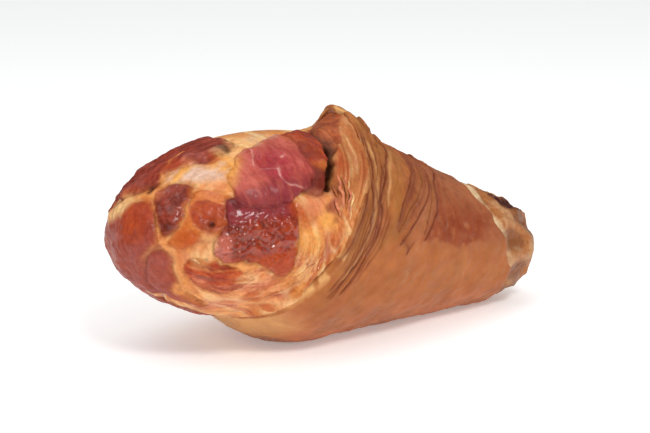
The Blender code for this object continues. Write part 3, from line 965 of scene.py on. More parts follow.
# Mesh of the flesh: places round the collar's axis, degrees from that axis that are in view, rings
# there and on the hidden rest, and how much and towards which angle the places crowd together.
FLESH_SEGMENTS = 410
FLESH_BARE = 104.0
FLESH_BARE_RINGS = 206
FLESH_HIDDEN_RINGS = 24
FLESH_CROWDING = 0.42
FLESH_FRONT = 0.25


def flesh_places():
    """Rings of places on the core about the collar's axis, and the ray out of each.

    The places crowd together on the near side, where the finest wrinkles are.
    """
    slant = math.atan2(COLLAR_SLANT, COLLAR_HALF_HEIGHT)
    axis = np.array((-math.cos(slant), 0.0, math.sin(slant)))
    side = np.array((0.0, -1.0, 0.0))
    top = np.cross(axis, side)
    even = np.linspace(0, 2 * math.pi, FLESH_SEGMENTS, endpoint=False)[None, :, None]
    theta = even - FLESH_CROWDING * np.sin(even - FLESH_FRONT)
    bare = np.linspace(0, FLESH_BARE, FLESH_BARE_RINGS + 1)
    hidden = np.linspace(FLESH_BARE, 180, FLESH_HIDDEN_RINGS + 1)[1:]
    polar = np.radians(np.concatenate([bare, hidden]))[:, None, None]
    ray = np.cos(polar) * axis + np.sin(polar) * (np.cos(theta) * side + np.sin(theta) * top)
    ray[0], ray[-1] = axis, -axis
    return CORE_CENTRE + ray / np.linalg.norm(ray / CORE_SIZES, axis=-1)[..., None], ray


def cured_flesh():
    """Cured, smoked pork, lean and fat: light goes in a little way, and brine makes it shine."""
    material = bpy.data.materials.new("cured pork lean and fat")
    material.use_nodes = True
    tree = material.node_tree
    shader = tree.nodes["Principled BSDF"]
    paint = add_node(tree, "Attribute", {"attribute_name": "paint"}, {})
    wet = add_node(tree, "Attribute", {"attribute_name": "rough"}, {})
    grain = add_node(tree, "Attribute", {"attribute_name": "grain"}, {})
    flow = add_node(tree, "Attribute", {"attribute_name": "flow"}, {}).outputs["Vector"]
    place = add_node(tree, "TexCoord", {}, {}).outputs["Object"]
    # Bundles of fibre are about 1.5 mm thick and run with the grain, which draws them out.
    fibre = add_node(
        tree, "TexNoise", {}, {"Vector": flow, "Scale": 1 / (2.2 * MM), "Detail": 3.0}
    )
    # Drops of brine and grains of pepper are about 1.2 mm apart.
    speck = add_node(
        tree, "TexNoise", {}, {"Vector": place, "Scale": 1 / (1.7 * MM), "Detail": 3.0}
    )
    share = add_node(
        tree,
        "MapRange",
        {"interpolation_type": "SMOOTHSTEP"},
        {"Value": fibre.outputs["Fac"], "From Min": 0.40, "From Max": 0.60},
    )
    tint = add_node(
        tree,
        "Mix",
        {"data_type": "RGBA"},
        {0: share.outputs[0], 6: (0.74, 0.46, 0.30, 1.0), 7: (1.12, 1.22, 1.35, 1.0)},
    )
    streaked = add_node(
        tree,
        "Mix",
        {"data_type": "RGBA", "blend_type": "MULTIPLY"},
        {0: grain.outputs["Fac"], 6: paint.outputs["Color"], 7: tint.outputs[2]},
    )
    dapple = add_node(
        tree,
        "MapRange",
        {},
        {
            "Value": speck.outputs["Fac"],
            "From Min": 0.3,
            "From Max": 0.7,
            "To Min": 0.87,
            "To Max": 1.12,
        },
    )
    mixed = add_node(
        tree,
        "Mix",
        {"data_type": "RGBA", "blend_type": "MULTIPLY"},
        {0: 1.0, 6: streaked.outputs[2], 7: dapple.outputs[0]},
    )
    ridges = add_node(
        tree,
        "Math",
        {"operation": "MULTIPLY_ADD"},
        {0: share.outputs[0], 1: grain.outputs["Fac"], 2: speck.outputs["Fac"]},
    )
    uneven = add_node(
        tree,
        "MapRange",
        {},
        {
            "Value": speck.outputs["Fac"],
            "From Min": 0.3,
            "From Max": 0.7,
            "To Min": -0.06,
            "To Max": 0.1,
        },
    )
    rough = add_node(
        tree, "Math", {"operation": "ADD"}, {0: wet.outputs["Fac"], 1: uneven.outputs[0]}
    )
    # Brine lies thick on the smoothest places and hardly at all on the dry ones.
    brine = add_node(
        tree,
        "MapRange",
        {},
        {
            "Value": wet.outputs["Fac"],
            "From Min": 0.1,
            "From Max": 0.3,
            "To Min": 1.0,
            "To Max": 0.08,
        },
    )
    # Wet places are crinkled the most, so that they glint.
    crinkle = add_node(
        tree,
        "MapRange",
        {},
        {
            "Value": wet.outputs["Fac"],
            "From Min": 0.12,
            "From Max": 0.35,
            "To Min": 1.0,
            "To Max": 0.4,
        },
    )
    bump = add_node(
        tree,
        "Bump",
        {},
        {"Height": ridges.outputs[0], "Strength": crinkle.outputs[0], "Distance": 0.5 * MM},
    )
    tree.links.new(mixed.outputs[2], shader.inputs["Base Color"])
    tree.links.new(rough.outputs[0], shader.inputs["Roughness"])
    tree.links.new(brine.outputs[0], shader.inputs["Coat Weight"])
    tree.links.new(bump.outputs[0], shader.inputs["Normal"])
    shader.inputs["IOR"].default_value = 1.42
    shader.inputs["Specular IOR Level"].default_value = 0.22
    shader.inputs["Coat Roughness"].default_value = 0.06
    shader.inputs["Subsurface Weight"].default_value = 0.10
    shader.inputs["Subsurface Radius"].default_value = (1.0, 0.3, 0.12)
    shader.inputs["Subsurface Scale"].default_value = 2.5 * MM
    return material


class PORKSHANK_OT_flesh(bpy.types.Operator):
    """Builds the cut meat that bulges out of the collar"""

    bl_idname = "pork_shank.flesh"
    bl_label = "Flesh"

    def execute(self, context):
        settings = context.scene.pork_shank.flesh
        core, ray = flesh_places()
        shape = core.shape[:2]
        places, finish = flesh_surface(core.reshape(-1, 3), ray.reshape(-1, 3), settings)
        places = places.reshape(core.shape)
        finish = {key: values.reshape(shape + values.shape[1:]) for key, values in finish.items()}
        settle(drawn_sphere("flesh", places, finish), cured_flesh())
        return {"FINISHED"}


# Mesh and finish of a shred.
SHRED_RINGS = 36
SHRED_COLUMNS = 14
SHRED_ROUGHNESS = 0.30
SHRED_GRAIN = 0.30


def shred_places(radius, lift, shade, route, s):
    """Rings round one shred, lifted off the flesh and thinning out at both ends."""
    frames = [core_frame(along, around) for along, around in route]
    line = rounded([frame[0] for frame in frames], False, 11)
    ray = rounded([frame[1] for frame in frames], False, 11)
    spots = flesh_surface(line, ray / np.linalg.norm(ray, axis=1)[:, None], s)[0]
    share = np.linspace(0, 1, len(spots))
    spine = spots + ray * (lift * np.sin(math.pi * share))[:, None]
    spine += 0.3 * np.stack([ripple(line, 3.0, seed) for seed in (161, 162, 163)], axis=1)
    even = np.linspace(0, 1, SHRED_RINGS + 1)
    spine = np.stack([np.interp(even, share, spine[:, axis]) for axis in range(3)], axis=1)
    ray = np.stack([np.interp(even, share, ray[:, axis]) for axis in range(3)], axis=1)
    ahead = np.gradient(spine, axis=0)
    ahead /= np.linalg.norm(ahead, axis=1)[:, None]
    side = np.cross(ahead, ray)
    side /= np.linalg.norm(side, axis=1)[:, None]
    out = np.cross(side, ahead)
    theta = np.linspace(0, 2 * math.pi, SHRED_COLUMNS, endpoint=False)[None, :, None]
    thick = radius * np.sqrt(np.sin(math.pi * even))[:, None, None]
    ring = np.cos(theta) * side[:, None] + 0.8 * np.sin(theta) * out[:, None]
    places = spine[:, None] + thick * ring
    paint = np.zeros(places.shape) + np.array(getattr(s, shade))
    even_coat = np.ones(places.shape[:2])
    lay(paint, 0.7 * smoothstep(0.2 - 0.8 * np.sin(theta[..., 0])) * even_coat, s.lean)
    lay(paint, 0.5 * smoothstep(0.6 * ripple(places, 2.4, 164)), s.lean_rose)
    rough, grain = SHRED_ROUGHNESS * even_coat, SHRED_GRAIN * even_coat
    return places, {"paint": paint, "rough": rough, "flow": places, "grain": grain}


class PORKSHANK_OT_shreds(bpy.types.Operator):
    """Builds the torn shreds of fat inside the collar"""

    bl_idname = "pork_shank.shreds"
    bl_label = "Shreds"

    def execute(self, context):
        settings = context.scene.pork_shank.flesh
        shreds = []
        for radius, lift, shade, route in SHREDS:
            places, finish = shred_places(radius, lift, shade, route, settings)
            shreds.append(drawn_sphere("shreds", places, finish))
        deselect_all()
        for shred in shreds:
            shred.select_set(True)
        context.view_layer.objects.active = shreds[0]
        bpy.ops.object.join()
        material = cured_flesh()
        material.name = "torn pork fat"
        settle(shreds[0], material)
        return {"FINISHED"}


# ---------------------------------------------------------------- the rind

# Mesh of the rind: columns round the leg, and rows on the plain skin, the pleated skin, the lip
# and the wall behind it.
RIND_COLUMNS = 368
RIND_PLAIN_ROWS = 84
RIND_PLEATED_ROWS = 124
RIND_LIP_ROWS = 40
RIND_WALL_ROWS = 16

# How far the wall drops and leans, how far from the collar the rows are closest together, and how
# far round the lip bends, in degrees.
WALL_DEPTH = 24.0
WALL_LEAN = 3.0
PLEATED_REACH = 50.0
LIP_BEND = 160.0

# The skin's rounded edge at the narrow end, and how far it is tucked in behind that.
HOCK_ROUND_REACH = 5.0
HOCK_ROUND_DROP = 2.6
HOCK_TUCK_BACK = 3.0
HOCK_TUCK_DEPTH = 5.0

# Poles of the rind's mesh, out of sight in the meat: how far in from each end, and how high.
POLE_INSET = 14.0
HOCK_POLE_HEIGHT = 30.0
COLLAR_POLE_HEIGHT = 50.0

# Millimetres of skin to a degree round the leg.
SKIN_TO_DEGREE = 0.85

# Creases round the skin, pleats first, each with painted shade along it: half width, depth,
# strength of the painted shade, and route as angle round the leg and distance from the collar.
SKIN_LINES = (
    (0.5, 0.5, 0.9, ((64, -3.4), (56, -5.0), (45, -5.6), (32, -3.4), (22, -1), (12, 0), (-4, -2))),
    (0.5, 0.7, 0.9, ((64, -1.6), (50, -2.6), (33, 0), (24, 3), (14, 5.8), (6, 7.4), (-20, 4.4))),
    (0.4, 0.5, 0.7, ((60, 1.4), (35, 2.0), (24, 5.3), (16, 8), (8, 9.4), (-6, 9), (-24, 6.4))),
    (0.5, 0.8, 0.8, ((44, 4.6), (32, 5.6), (22, 7.1), (12, 10.3), (3, 11.7), (-10, 8.6),
     (-24, 8.4))),
    (0.6, 1.3, 1.0, ((78, 12), (60, 10.9), (45, 7.4), (33, 7.4), (24, 7.6), (18, 10.5), (8, 13.4),
     (-4, 13.4), (-22, 12.6))),
    (0.4, 0.4, 0.5, ((34, 9.6), (26, 10.6), (20, 13), (12, 15.8), (2, 16.6), (-12, 15.4))),
    (0.5, 0.4, 0.4, ((16, 17.0), (10, 18.6), (0, 19.6), (-16, 17.8))),
    (0.5, 0.8, 0.7, ((84, 25.4), (66, 26.4), (50, 26.0), (38, 24.2), (28, 23.6), (14, 24.4))),
    (0.5, 0.6, 0.5, ((82, 33), (58, 32), (42, 33.4), (30, 31.8), (18, 29.4), (8, 28.2))),
    (0.5, 1.0, 0.9, ((82, 38), (63, 37.8), (47, 38.3), (34, 39.4), (23, 38.4), (14, 36.6),
     (1, 33.4))),
    (0.4, 0.6, 0.6, ((56, 38.4), (38, 40.6), (27, 43.1), (16, 45.4), (8, 46.3))),
    (0.5, 1.1, 1.0, ((84, 50), (66, 47), (50, 43), (38, 44.3), (30, 46.6), (22, 49.3), (4, 49.4))),
    (0.4, 0.3, 0.4, ((52, 49), (40, 52.5), (33, 58.4), (21, 67.2), (16, 71.5))),
    (0.5, 0.5, 1.0, ((3, 33.3), (1, 37.2), (-2, 40.9), (-4, 41.5))),
    (0.5, 0.5, 0.8, ((2, 42.6), (-1, 41.2))),
)

# Broad soft bands beside the folds: half width, strength, colour and route. Plum is painted shade.
SKIN_SHADES = (
    (2.0, 0.7, "plum_and_fold_shade", ((80, 29), (54, 27.8), (40, 27), (30, 26), (19, 25.6), (11, 25.6))),
    (1.3, 0.45, "plum_and_fold_shade", ((76, 36), (54, 35.4), (40, 36), (28, 34.7), (16, 31.4), (8, 29.4))),
    (1.2, 0.5, "gold", ((60, 34), (44, 33.4), (30, 31), (16, 29.6), (4, 29))),
    (1.5, 0.5, "stain", ((50, 46), (38, 46.8), (26, 50), (14, 51.4), (6, 51))),
    (1.3, 0.5, "lip", ((60, 13.6), (45, 10.2), (33, 10.4), (22, 13))),
    (1.5, 0.5, "gold", ((50, 41), (34, 42.2), (22, 44), (10, 42.6))),
    (1.2, 0.5, "lip", ((60, -0.6), (45, 0.4), (30, 3.4), (16, 6.6), (4, 8.8), (-14, 7))),
)

# Finest pleats beside the collar: spacing, depth, strength of their painted shade, and how far
# they drift off with the angle below the flap.
FINE_PITCH = 2.1
FINE_DEPTH = 0.30
FINE_STRENGTH = 0.45
FINE_DRIFT = 0.13

# Little curled knobs on the skyline: angle, distance from the collar, radius and rise.
SKIN_KNOBS = (
    (74, 7.0, 2.4, 2.2),
    (66, 10.0, 1.6, 1.3),
    (62, 4.0, 1.8, 1.2),
    (80, 12.4, 2.0, 1.5),
    (76, 17.0, 1.7, 1.1),
    (74, 41.0, 2.0, 1.0),
    (72, 46.0, 1.8, 0.9),
)

# Where the skin ends at the narrow end: angle round the leg and place along it.
HOCK_EDGE = np.array(
    [
        (-180, 84), (-120, 88), (-60, 91), (-30, 91), (0, 87.5), (20, 84.5), (31, 80.5), (40, 76),
        (52, 73), (64, 71.5), (80, 71), (100, 73), (140, 80), (180, 84),
    ]
)


def lip_radius(theta):
    """How thick the rolled lip is."""
    return LIP_RADIUS - LIP_THINNED * bell(turned(theta, LIP_THIN_ANGLE), LIP_THIN_SPREAD)


def flap_rise(theta, gap):
    """Height of the flap over the sleeve, steepest round its far side."""
    off = turned(theta, FLAP_ANGLE)
    near = np.exp(-(np.abs(off / np.where(off > 0, FLAP_FAR_SPREAD, FLAP_SPREAD)) ** 3))
    return FLAP_RISE * near * (1 - smoothstep(gap / FLAP_REACH)) ** 1.2


def sleeve_point(x, theta, outward):
    """Places on the sleeve at x, moved outward along the radius and kept above the floor."""
    half_width = along_sections(SLEEVE, x, 1) + outward
    half_height = along_sections(SLEEVE, x, 2) + outward
    across = -half_width * np.cos(theta)
    up = along_sections(SLEEVE, x, 3) + half_height * np.sin(theta)
    return np.stack([x + 0 * theta, across, np.maximum(up, 0.0)], axis=-1)


def skin_line(theta, gap, route):
    """Distance on the skin, in millimetres, to a smooth line given by angles and distances."""
    degrees = turned(theta, 0.0)
    nearest = np.full(theta.shape, np.inf)
    corners = rounded(np.array(route) * (SKIN_TO_DEGREE, 1.0), False)
    for start, stop in zip(corners, corners[1:]):
        span = stop - start
        away_round, away_along = degrees * SKIN_TO_DEGREE - start[0], gap - start[1]
        t = np.clip((away_round * span[0] + away_along * span[1]) / max(span @ span, 1e-9), 0, 1)
        nearest = np.minimum(nearest, np.hypot(away_round - t * span[0], away_along - t * span[1]))
    return nearest


def draw_lines(theta, gap, place, relief, paint, settings):
    """Draws the pleats and folds into the skin: a ridge along each side, painted shade in and
    beside it.
    """
    degrees = turned(theta, 0.0)
    wander = 0.30 * ripple(place, 11.0, 206) + 0.12 * ripple(place, 4.0, 208)
    for width, strength, shade, route in SKIN_SHADES:
        away = skin_line(theta, gap + wander, route)
        lay(paint, strength * bell(away, width), getattr(settings, shade))
    for width, depth, strength, route in SKIN_LINES:
        away = skin_line(theta, gap + wander, route)
        near = bell(away, width)
        relief -= settings.pleat / MM * depth * (near - 0.4 * bell(away, 3.0 * width))
        broken = 0.75 + 0.25 * ripple(place, 4.0, 210)
        # Painted shade: plum beside each crease and near black in it.
        lay(paint, 0.5 * strength * bell(away, 2.8 * width), settings.plum_and_fold_shade)
        lay(paint, 0.8 * strength * near * broken, settings.crease_shade)
    drift = gap - FINE_DRIFT * np.clip(60 - degrees, 0, 76) + 0.8 * ripple(place, 15.0, 212)
    away = np.abs((drift / FINE_PITCH + 0.5) % 1.0 - 0.5) * FINE_PITCH
    patchy = smoothstep(0.6 + 0.6 * ripple(place * (1.0, 0.3, 0.3), 5.0, 213))
    fine = bell(away, 0.38) * smoothstep((drift + 6) / 2.0) * smoothstep((8.5 - drift) / 3.0)
    fine *= smoothstep((degrees + 30) / 20.0) * smoothstep((76 - degrees) / 12.0) * patchy
    relief -= FINE_DEPTH * fine
    # Painted shade in the finest pleats.
    lay(paint, FINE_STRENGTH * fine, settings.crease_shade)
    return relief


def rind_outside(theta, gap, end_gap, settings):
    """Relief, paint and roughness of the skin, gap millimetres from the collar."""
    degrees = turned(theta, 0.0)
    place = sleeve_point(collar_x(theta) + gap, theta, 0.0)
    upper = smoothstep((np.sin(theta) + 0.1) / 0.45)
    clouds = mottle(place, 9.0, 205)
    dents = mottle(place, 12.0, 204)
    blotch = mottle(place, 3.4, 209)
    wrinkle = ripple(place * (1.0, 0.14, 0.14), 1.5, 203)
    faint = upper * (0.3 + 0.7 * smoothstep((50 - gap) / 20.0))
    relief = settings.wrinkle / MM * wrinkle * faint + 0.22 * dents + 0.1 * blotch
    paint = np.zeros(theta.shape + (3,)) + np.array(settings.tan)
    lay(paint, 0.35 * smoothstep(0.7 * clouds), settings.gold)
    # Browner towards the upper side: partly smoke, partly painted shade.
    lay(paint, 0.85 * upper * smoothstep((gap - 26) / 16.0), settings.smoke)
    lay(paint, 0.4 * upper * smoothstep(-0.2 - 0.8 * clouds), settings.plum_and_fold_shade)
    # Rosier and paler on the lower side: partly skin that lay on the table, partly painted floor
    # light.
    rosy = smoothstep((-24 - degrees) / 25.0) * smoothstep((degrees + 150) / 30.0)
    lay(paint, 0.7 * rosy * smoothstep(0.6 + 0.5 * dents), settings.rose)
    pale = rosy * smoothstep((22 - gap) / 14.0) * smoothstep((-38 - degrees) / 16.0)
    lay(paint, 0.75 * pale, settings.lip)
    lay(paint, 0.35 * bell(degrees + 38, 12.0) * bell(gap - 18, 14.0), settings.smoke)
    pleated = smoothstep((12.0 - gap) / 6.0) * smoothstep((degrees + 24) / 30.0)
    lay(paint, 0.8 * pleated, settings.pleated)
    middle = 15.0 + 9.0 * bell(degrees - 12, 14.0)
    golden = bell(gap - middle, 5.5) * smoothstep((degrees + 8) / 14.0)
    lay(paint, 0.8 * golden, settings.gold)
    second = smoothstep((gap - 25) / 3.0) * smoothstep((40 - gap) / 6.0) * upper
    lay(paint, 0.25 * second, settings.plum_and_fold_shade)
    lay(paint, 0.3 * smoothstep(0.1 + 0.7 * blotch) * upper, settings.smoke)
    relief = draw_lines(theta, gap, place, relief, paint, settings)
    for angle, distance, radius, rise in SKIN_KNOBS:
        away = skin_line(theta, gap, ((angle, distance), (angle + 3, distance)))
        knob = smoothstep((1.25 * radius - away) / (0.5 * radius)) * smoothstep(gap / 2.0)
        relief += rise * knob
        # Painted shade: a dark ring round each knob's foot.
        lay(paint, 0.5 * bell(away - 1.25 * radius, 0.7), settings.crease_shade)
    low_edge = 1.0 + 6.0 * smoothstep((gap - 78) / 12.0) + 1.2 * ripple(place, 3.4, 207)
    stained = smoothstep((degrees - low_edge) / 4.5) * smoothstep((52 - degrees) / 36.0)
    stained *= smoothstep((gap - 44) / 12.0) * smoothstep((106 - gap) / 22.0)
    lay(paint, 0.75 * stained * smoothstep(0.9 + 0.3 * blotch), settings.stain)
    lay(paint, 0.5 * smoothstep((2.4 - (end_gap - gap)) / 2.0), settings.lip_brown)
    rough = 0.46 + 0.05 * dents + 0.04 * blotch - 0.06 * pleated
    grain = 0.05 + 0.77 * smoothstep((30.0 - gap) / 20.0) * smoothstep((degrees + 40) / 40.0)
    return relief, paint, rough, grain


def rind_lip(theta, turn, settings):
    """Relief, paint and roughness on the roll of the lip, turn 0 at its rim and 1 deep inside."""
    degrees = turned(theta, 0.0)
    arc = turn * math.radians(LIP_BEND) * lip_radius(theta)
    place = sleeve_point(collar_x(theta), theta, 0.0) - arc[..., None] * (1.0, 0.0, 0.0)
    flat = np.stack([degrees * 0.09, arc, arc * 0], axis=-1)
    strand = ripple(flat, 1.1, 221)
    blotch = mottle(place, 5.0, 222)
    near = smoothstep((degrees + 6) / 20.0) * smoothstep((78 - degrees) / 10.0)
    paint = np.zeros(theta.shape + (3,)) + np.array(settings.lip)
    lay(paint, 0.85 * smoothstep(0.4 + 0.7 * blotch), settings.lip_brown)
    lay(paint, 0.5 * near, settings.lip_brown)
    lay(paint, 0.8 * near * smoothstep((0.4 - turn) / 0.2), settings.pleated)
    lay(paint, 0.45 * smoothstep(-0.2 + 0.7 * strand), settings.lip_brown)
    bare = smoothstep((-6 - degrees) / 16.0) * smoothstep((degrees + 160) / 20.0)
    lay(paint, 0.75 * bare * smoothstep((0.35 - turn) / 0.3), settings.tan)
    relief = 0.2 * strand * smoothstep(turn / 0.2) + 0.25 * blotch * smoothstep(turn / 0.3)
    relief = draw_lines(theta, -arc, place, relief, paint, settings)
    # Painted shade: dark in the hollow under the roll, away from the flap.
    hollow = smoothstep((turn - 0.42) / 0.2) * smoothstep((86 - degrees) / 8.0)
    lay(paint, 0.9 * hollow, settings.crease_shade)
    lay(paint, 0.9 * smoothstep((turn - 0.6) / 0.2), settings.inside)
    return relief, paint, 0.40 + 0.04 * blotch


def rind_wall(theta, depth, settings):
    """Relief, paint and roughness of the inner face that drops from the lip behind the meat."""
    degrees = turned(theta, 0.0)
    flat = np.stack([degrees * 0.9, depth * WALL_DEPTH, depth * 0], axis=-1)
    blotch = mottle(flat, 7.0, 231)
    paint = np.zeros(theta.shape + (3,)) + np.array(settings.inside)
    lay(paint, 0.4 * smoothstep(0.2 + 0.7 * blotch), settings.lip_brown)
    return 0.6 * blotch * smoothstep(depth / 0.15), paint, 0.45 + 0.04 * blotch


def rind_places(settings):
    """Rows of places from the hock end over the skin to the collar and round its lip."""
    theta = np.linspace(0, 2 * math.pi, RIND_COLUMNS, endpoint=False)
    edge = collar_x(theta)
    end = np.interp(turned(theta, 0.0), HOCK_EDGE[:, 0], HOCK_EDGE[:, 1])
    end += 0.8 * ripple(sleeve_point(end, theta, 0.0), 7.0, 211)
    end_gap = end - edge
    share = np.linspace(1, 0, RIND_PLAIN_ROWS, endpoint=False)[:, None]
    plain = (1 - share) * PLEATED_REACH + share * end_gap
    pleated = np.linspace(PLEATED_REACH, 0, RIND_PLEATED_ROWS)[:, None] + 0 * theta
    gap = np.concatenate([plain, pleated])
    round_leg = theta + 0 * gap
    relief, paint, rough, grain = rind_outside(round_leg, gap, end_gap, settings)
    rounding = np.clip(1 - (end_gap - gap) / HOCK_ROUND_REACH, 0, 1) ** 2.2
    outward = relief + flap_rise(round_leg, gap) - HOCK_ROUND_DROP * rounding
    outside = sleeve_point(edge + gap, round_leg, outward)
    turn = np.linspace(0, 1, RIND_LIP_ROWS + 1)[1:, None] + 0 * theta
    round_lip = theta + 0 * turn
    lip_relief, lip_paint, lip_rough = rind_lip(round_lip, turn, settings)
    bend = np.radians(LIP_BEND) * turn
    radius = lip_radius(round_lip) + lip_relief
    base = lip_radius(round_lip)
    forward = radius * np.sin(bend)
    inward = base - radius * np.cos(bend)
    rise = flap_rise(round_lip, 0.0) + relief[-1] * (1 - smoothstep(turn / 0.3))
    lip = sleeve_point(edge - forward, round_lip, rise - inward)
    start = np.array((HOCK_EDGE[0, 1] - POLE_INSET, 0.0, HOCK_POLE_HEIGHT))
    start = np.broadcast_to(start, (1, RIND_COLUMNS, 3))
    tuck = sleeve_point(edge + end_gap - HOCK_TUCK_BACK, theta, -HOCK_TUCK_DEPTH)[None]
    stop = np.array((COLLAR_X + POLE_INSET, 0.0, COLLAR_POLE_HEIGHT))
    stop = np.broadcast_to(stop, (1, RIND_COLUMNS, 3))
    depth = np.linspace(0, 1, RIND_WALL_ROWS + 1)[1:, None] + 0 * theta
    round_wall = theta + 0 * depth
    wall_relief, wall_paint, wall_rough = rind_wall(round_wall, depth, settings)
    first = edge - forward[-1]
    back = WALL_LEAN * depth + wall_relief
    wall = sleeve_point(first + back, round_wall, (rise - inward)[-1] - WALL_DEPTH * depth)
    places = np.concatenate([start, tuck, outside, lip, wall, stop])
    paint = np.concatenate([paint[:1], paint[:1], paint, lip_paint, wall_paint, wall_paint[-1:]])
    rough = np.concatenate([rough[:1], rough[:1], rough, lip_rough, wall_rough, wall_rough[-1:]])
    down = np.concatenate([gap[:1], gap[:1], gap, -radius * bend, -WALL_DEPTH * depth, gap[-1:]])
    across = turned(theta, 0.0) * SKIN_TO_DEGREE
    flow = np.stack([down, across * 0.16 + 0 * down, down * 0], axis=-1)
    inner = np.repeat(grain[-1:], len(lip) + len(wall) + 1, axis=0)
    grain = np.concatenate([grain[:1], grain[:1], grain, inner])
    return places, {"paint": paint, "rough": rough, "flow": flow, "grain": grain}


def smoked_rind():
    """Smoked pork skin: tough, leathery and slightly greasy, with pores and fine creases."""
    material = bpy.data.materials.new("smoked pork rind")
    material.use_nodes = True
    tree = material.node_tree
    shader = tree.nodes["Principled BSDF"]
    paint = add_node(tree, "Attribute", {"attribute_name": "paint"}, {})
    wet = add_node(tree, "Attribute", {"attribute_name": "rough"}, {})
    flow = add_node(tree, "Attribute", {"attribute_name": "flow"}, {}).outputs["Vector"]
    grain = add_node(tree, "Attribute", {"attribute_name": "grain"}, {})
    place = add_node(tree, "TexCoord", {}, {}).outputs["Object"]
    # Pores are about 0.8 mm apart. Smoke lies in clouds of about 5 mm.
    pores = add_node(
        tree, "TexNoise", {}, {"Vector": place, "Scale": 1 / (1.1 * MM), "Detail": 2.0}
    )
    smoke = add_node(
        tree, "TexNoise", {}, {"Vector": place, "Scale": 1 / (7.0 * MM), "Detail": 4.0}
    )
    # Fine creases run round the leg beside the collar, about 1.4 mm apart.
    crease = add_node(
        tree, "TexNoise", {}, {"Vector": flow, "Scale": 1 / (2.0 * MM), "Detail": 3.0}
    )
    centred = add_node(
        tree, "Math", {"operation": "SUBTRACT"}, {0: crease.outputs["Fac"], 1: 0.5}
    )
    creased = add_node(
        tree, "Math", {"operation": "MULTIPLY"}, {0: centred.outputs[0], 1: grain.outputs["Fac"]}
    )
    clouds = add_node(
        tree,
        "Math",
        {"operation": "MULTIPLY_ADD"},
        {0: creased.outputs[0], 1: 1.6, 2: smoke.outputs["Fac"]},
    )
    share = add_node(
        tree, "MapRange", {}, {"Value": clouds.outputs[0], "From Min": 0.25, "From Max": 0.75}
    )
    tint = add_node(
        tree,
        "Mix",
        {"data_type": "RGBA"},
        {0: share.outputs[0], 6: (0.84, 0.74, 0.66, 1.0), 7: (1.10, 1.12, 1.14, 1.0)},
    )
    mixed = add_node(
        tree,
        "Mix",
        {"data_type": "RGBA", "blend_type": "MULTIPLY"},
        {0: 1.0, 6: paint.outputs["Color"], 7: tint.outputs[2]},
    )
    rise = add_node(
        tree, "Math", {"operation": "ADD"}, {0: pores.outputs["Fac"], 1: creased.outputs[0]}
    )
    bump = add_node(
        tree, "Bump", {}, {"Height": rise.outputs[0], "Strength": 0.3, "Distance": 0.5 * MM}
    )
    tree.links.new(mixed.outputs[2], shader.inputs["Base Color"])
    tree.links.new(wet.outputs["Fac"], shader.inputs["Roughness"])
    tree.links.new(bump.outputs[0], shader.inputs["Normal"])
    shader.inputs["IOR"].default_value = 1.40
    shader.inputs["Specular IOR Level"].default_value = 0.25
    shader.inputs["Subsurface Weight"].default_value = 0.10
    shader.inputs["Subsurface Radius"].default_value = (1.0, 0.45, 0.2)
    shader.inputs["Subsurface Scale"].default_value = 2 * MM
    return material


class PORKSHANK_OT_rind(bpy.types.Operator):
    """Builds the sleeve of skin, with its pleats, its rolled lip and the flap"""

    bl_idname = "pork_shank.rind"
    bl_label = "Rind"

    def execute(self, context):
        places, finish = rind_places(context.scene.pork_shank.rind)
        settle(drawn_sphere("rind", places, finish), smoked_rind())
        return {"FINISHED"}


# ---------------------------------------------------------------- the knuckle

KNUCKLE_COLUMNS = 220
KNUCKLE_ROWS = 150

# Poles of the knuckle's mesh: how far in and how high inside the sleeve, and where the tip is.
KNUCKLE_ROOT_INSET = 6.0
KNUCKLE_ROOT_HEIGHT = 36.0
KNUCKLE_TIP = 122.4


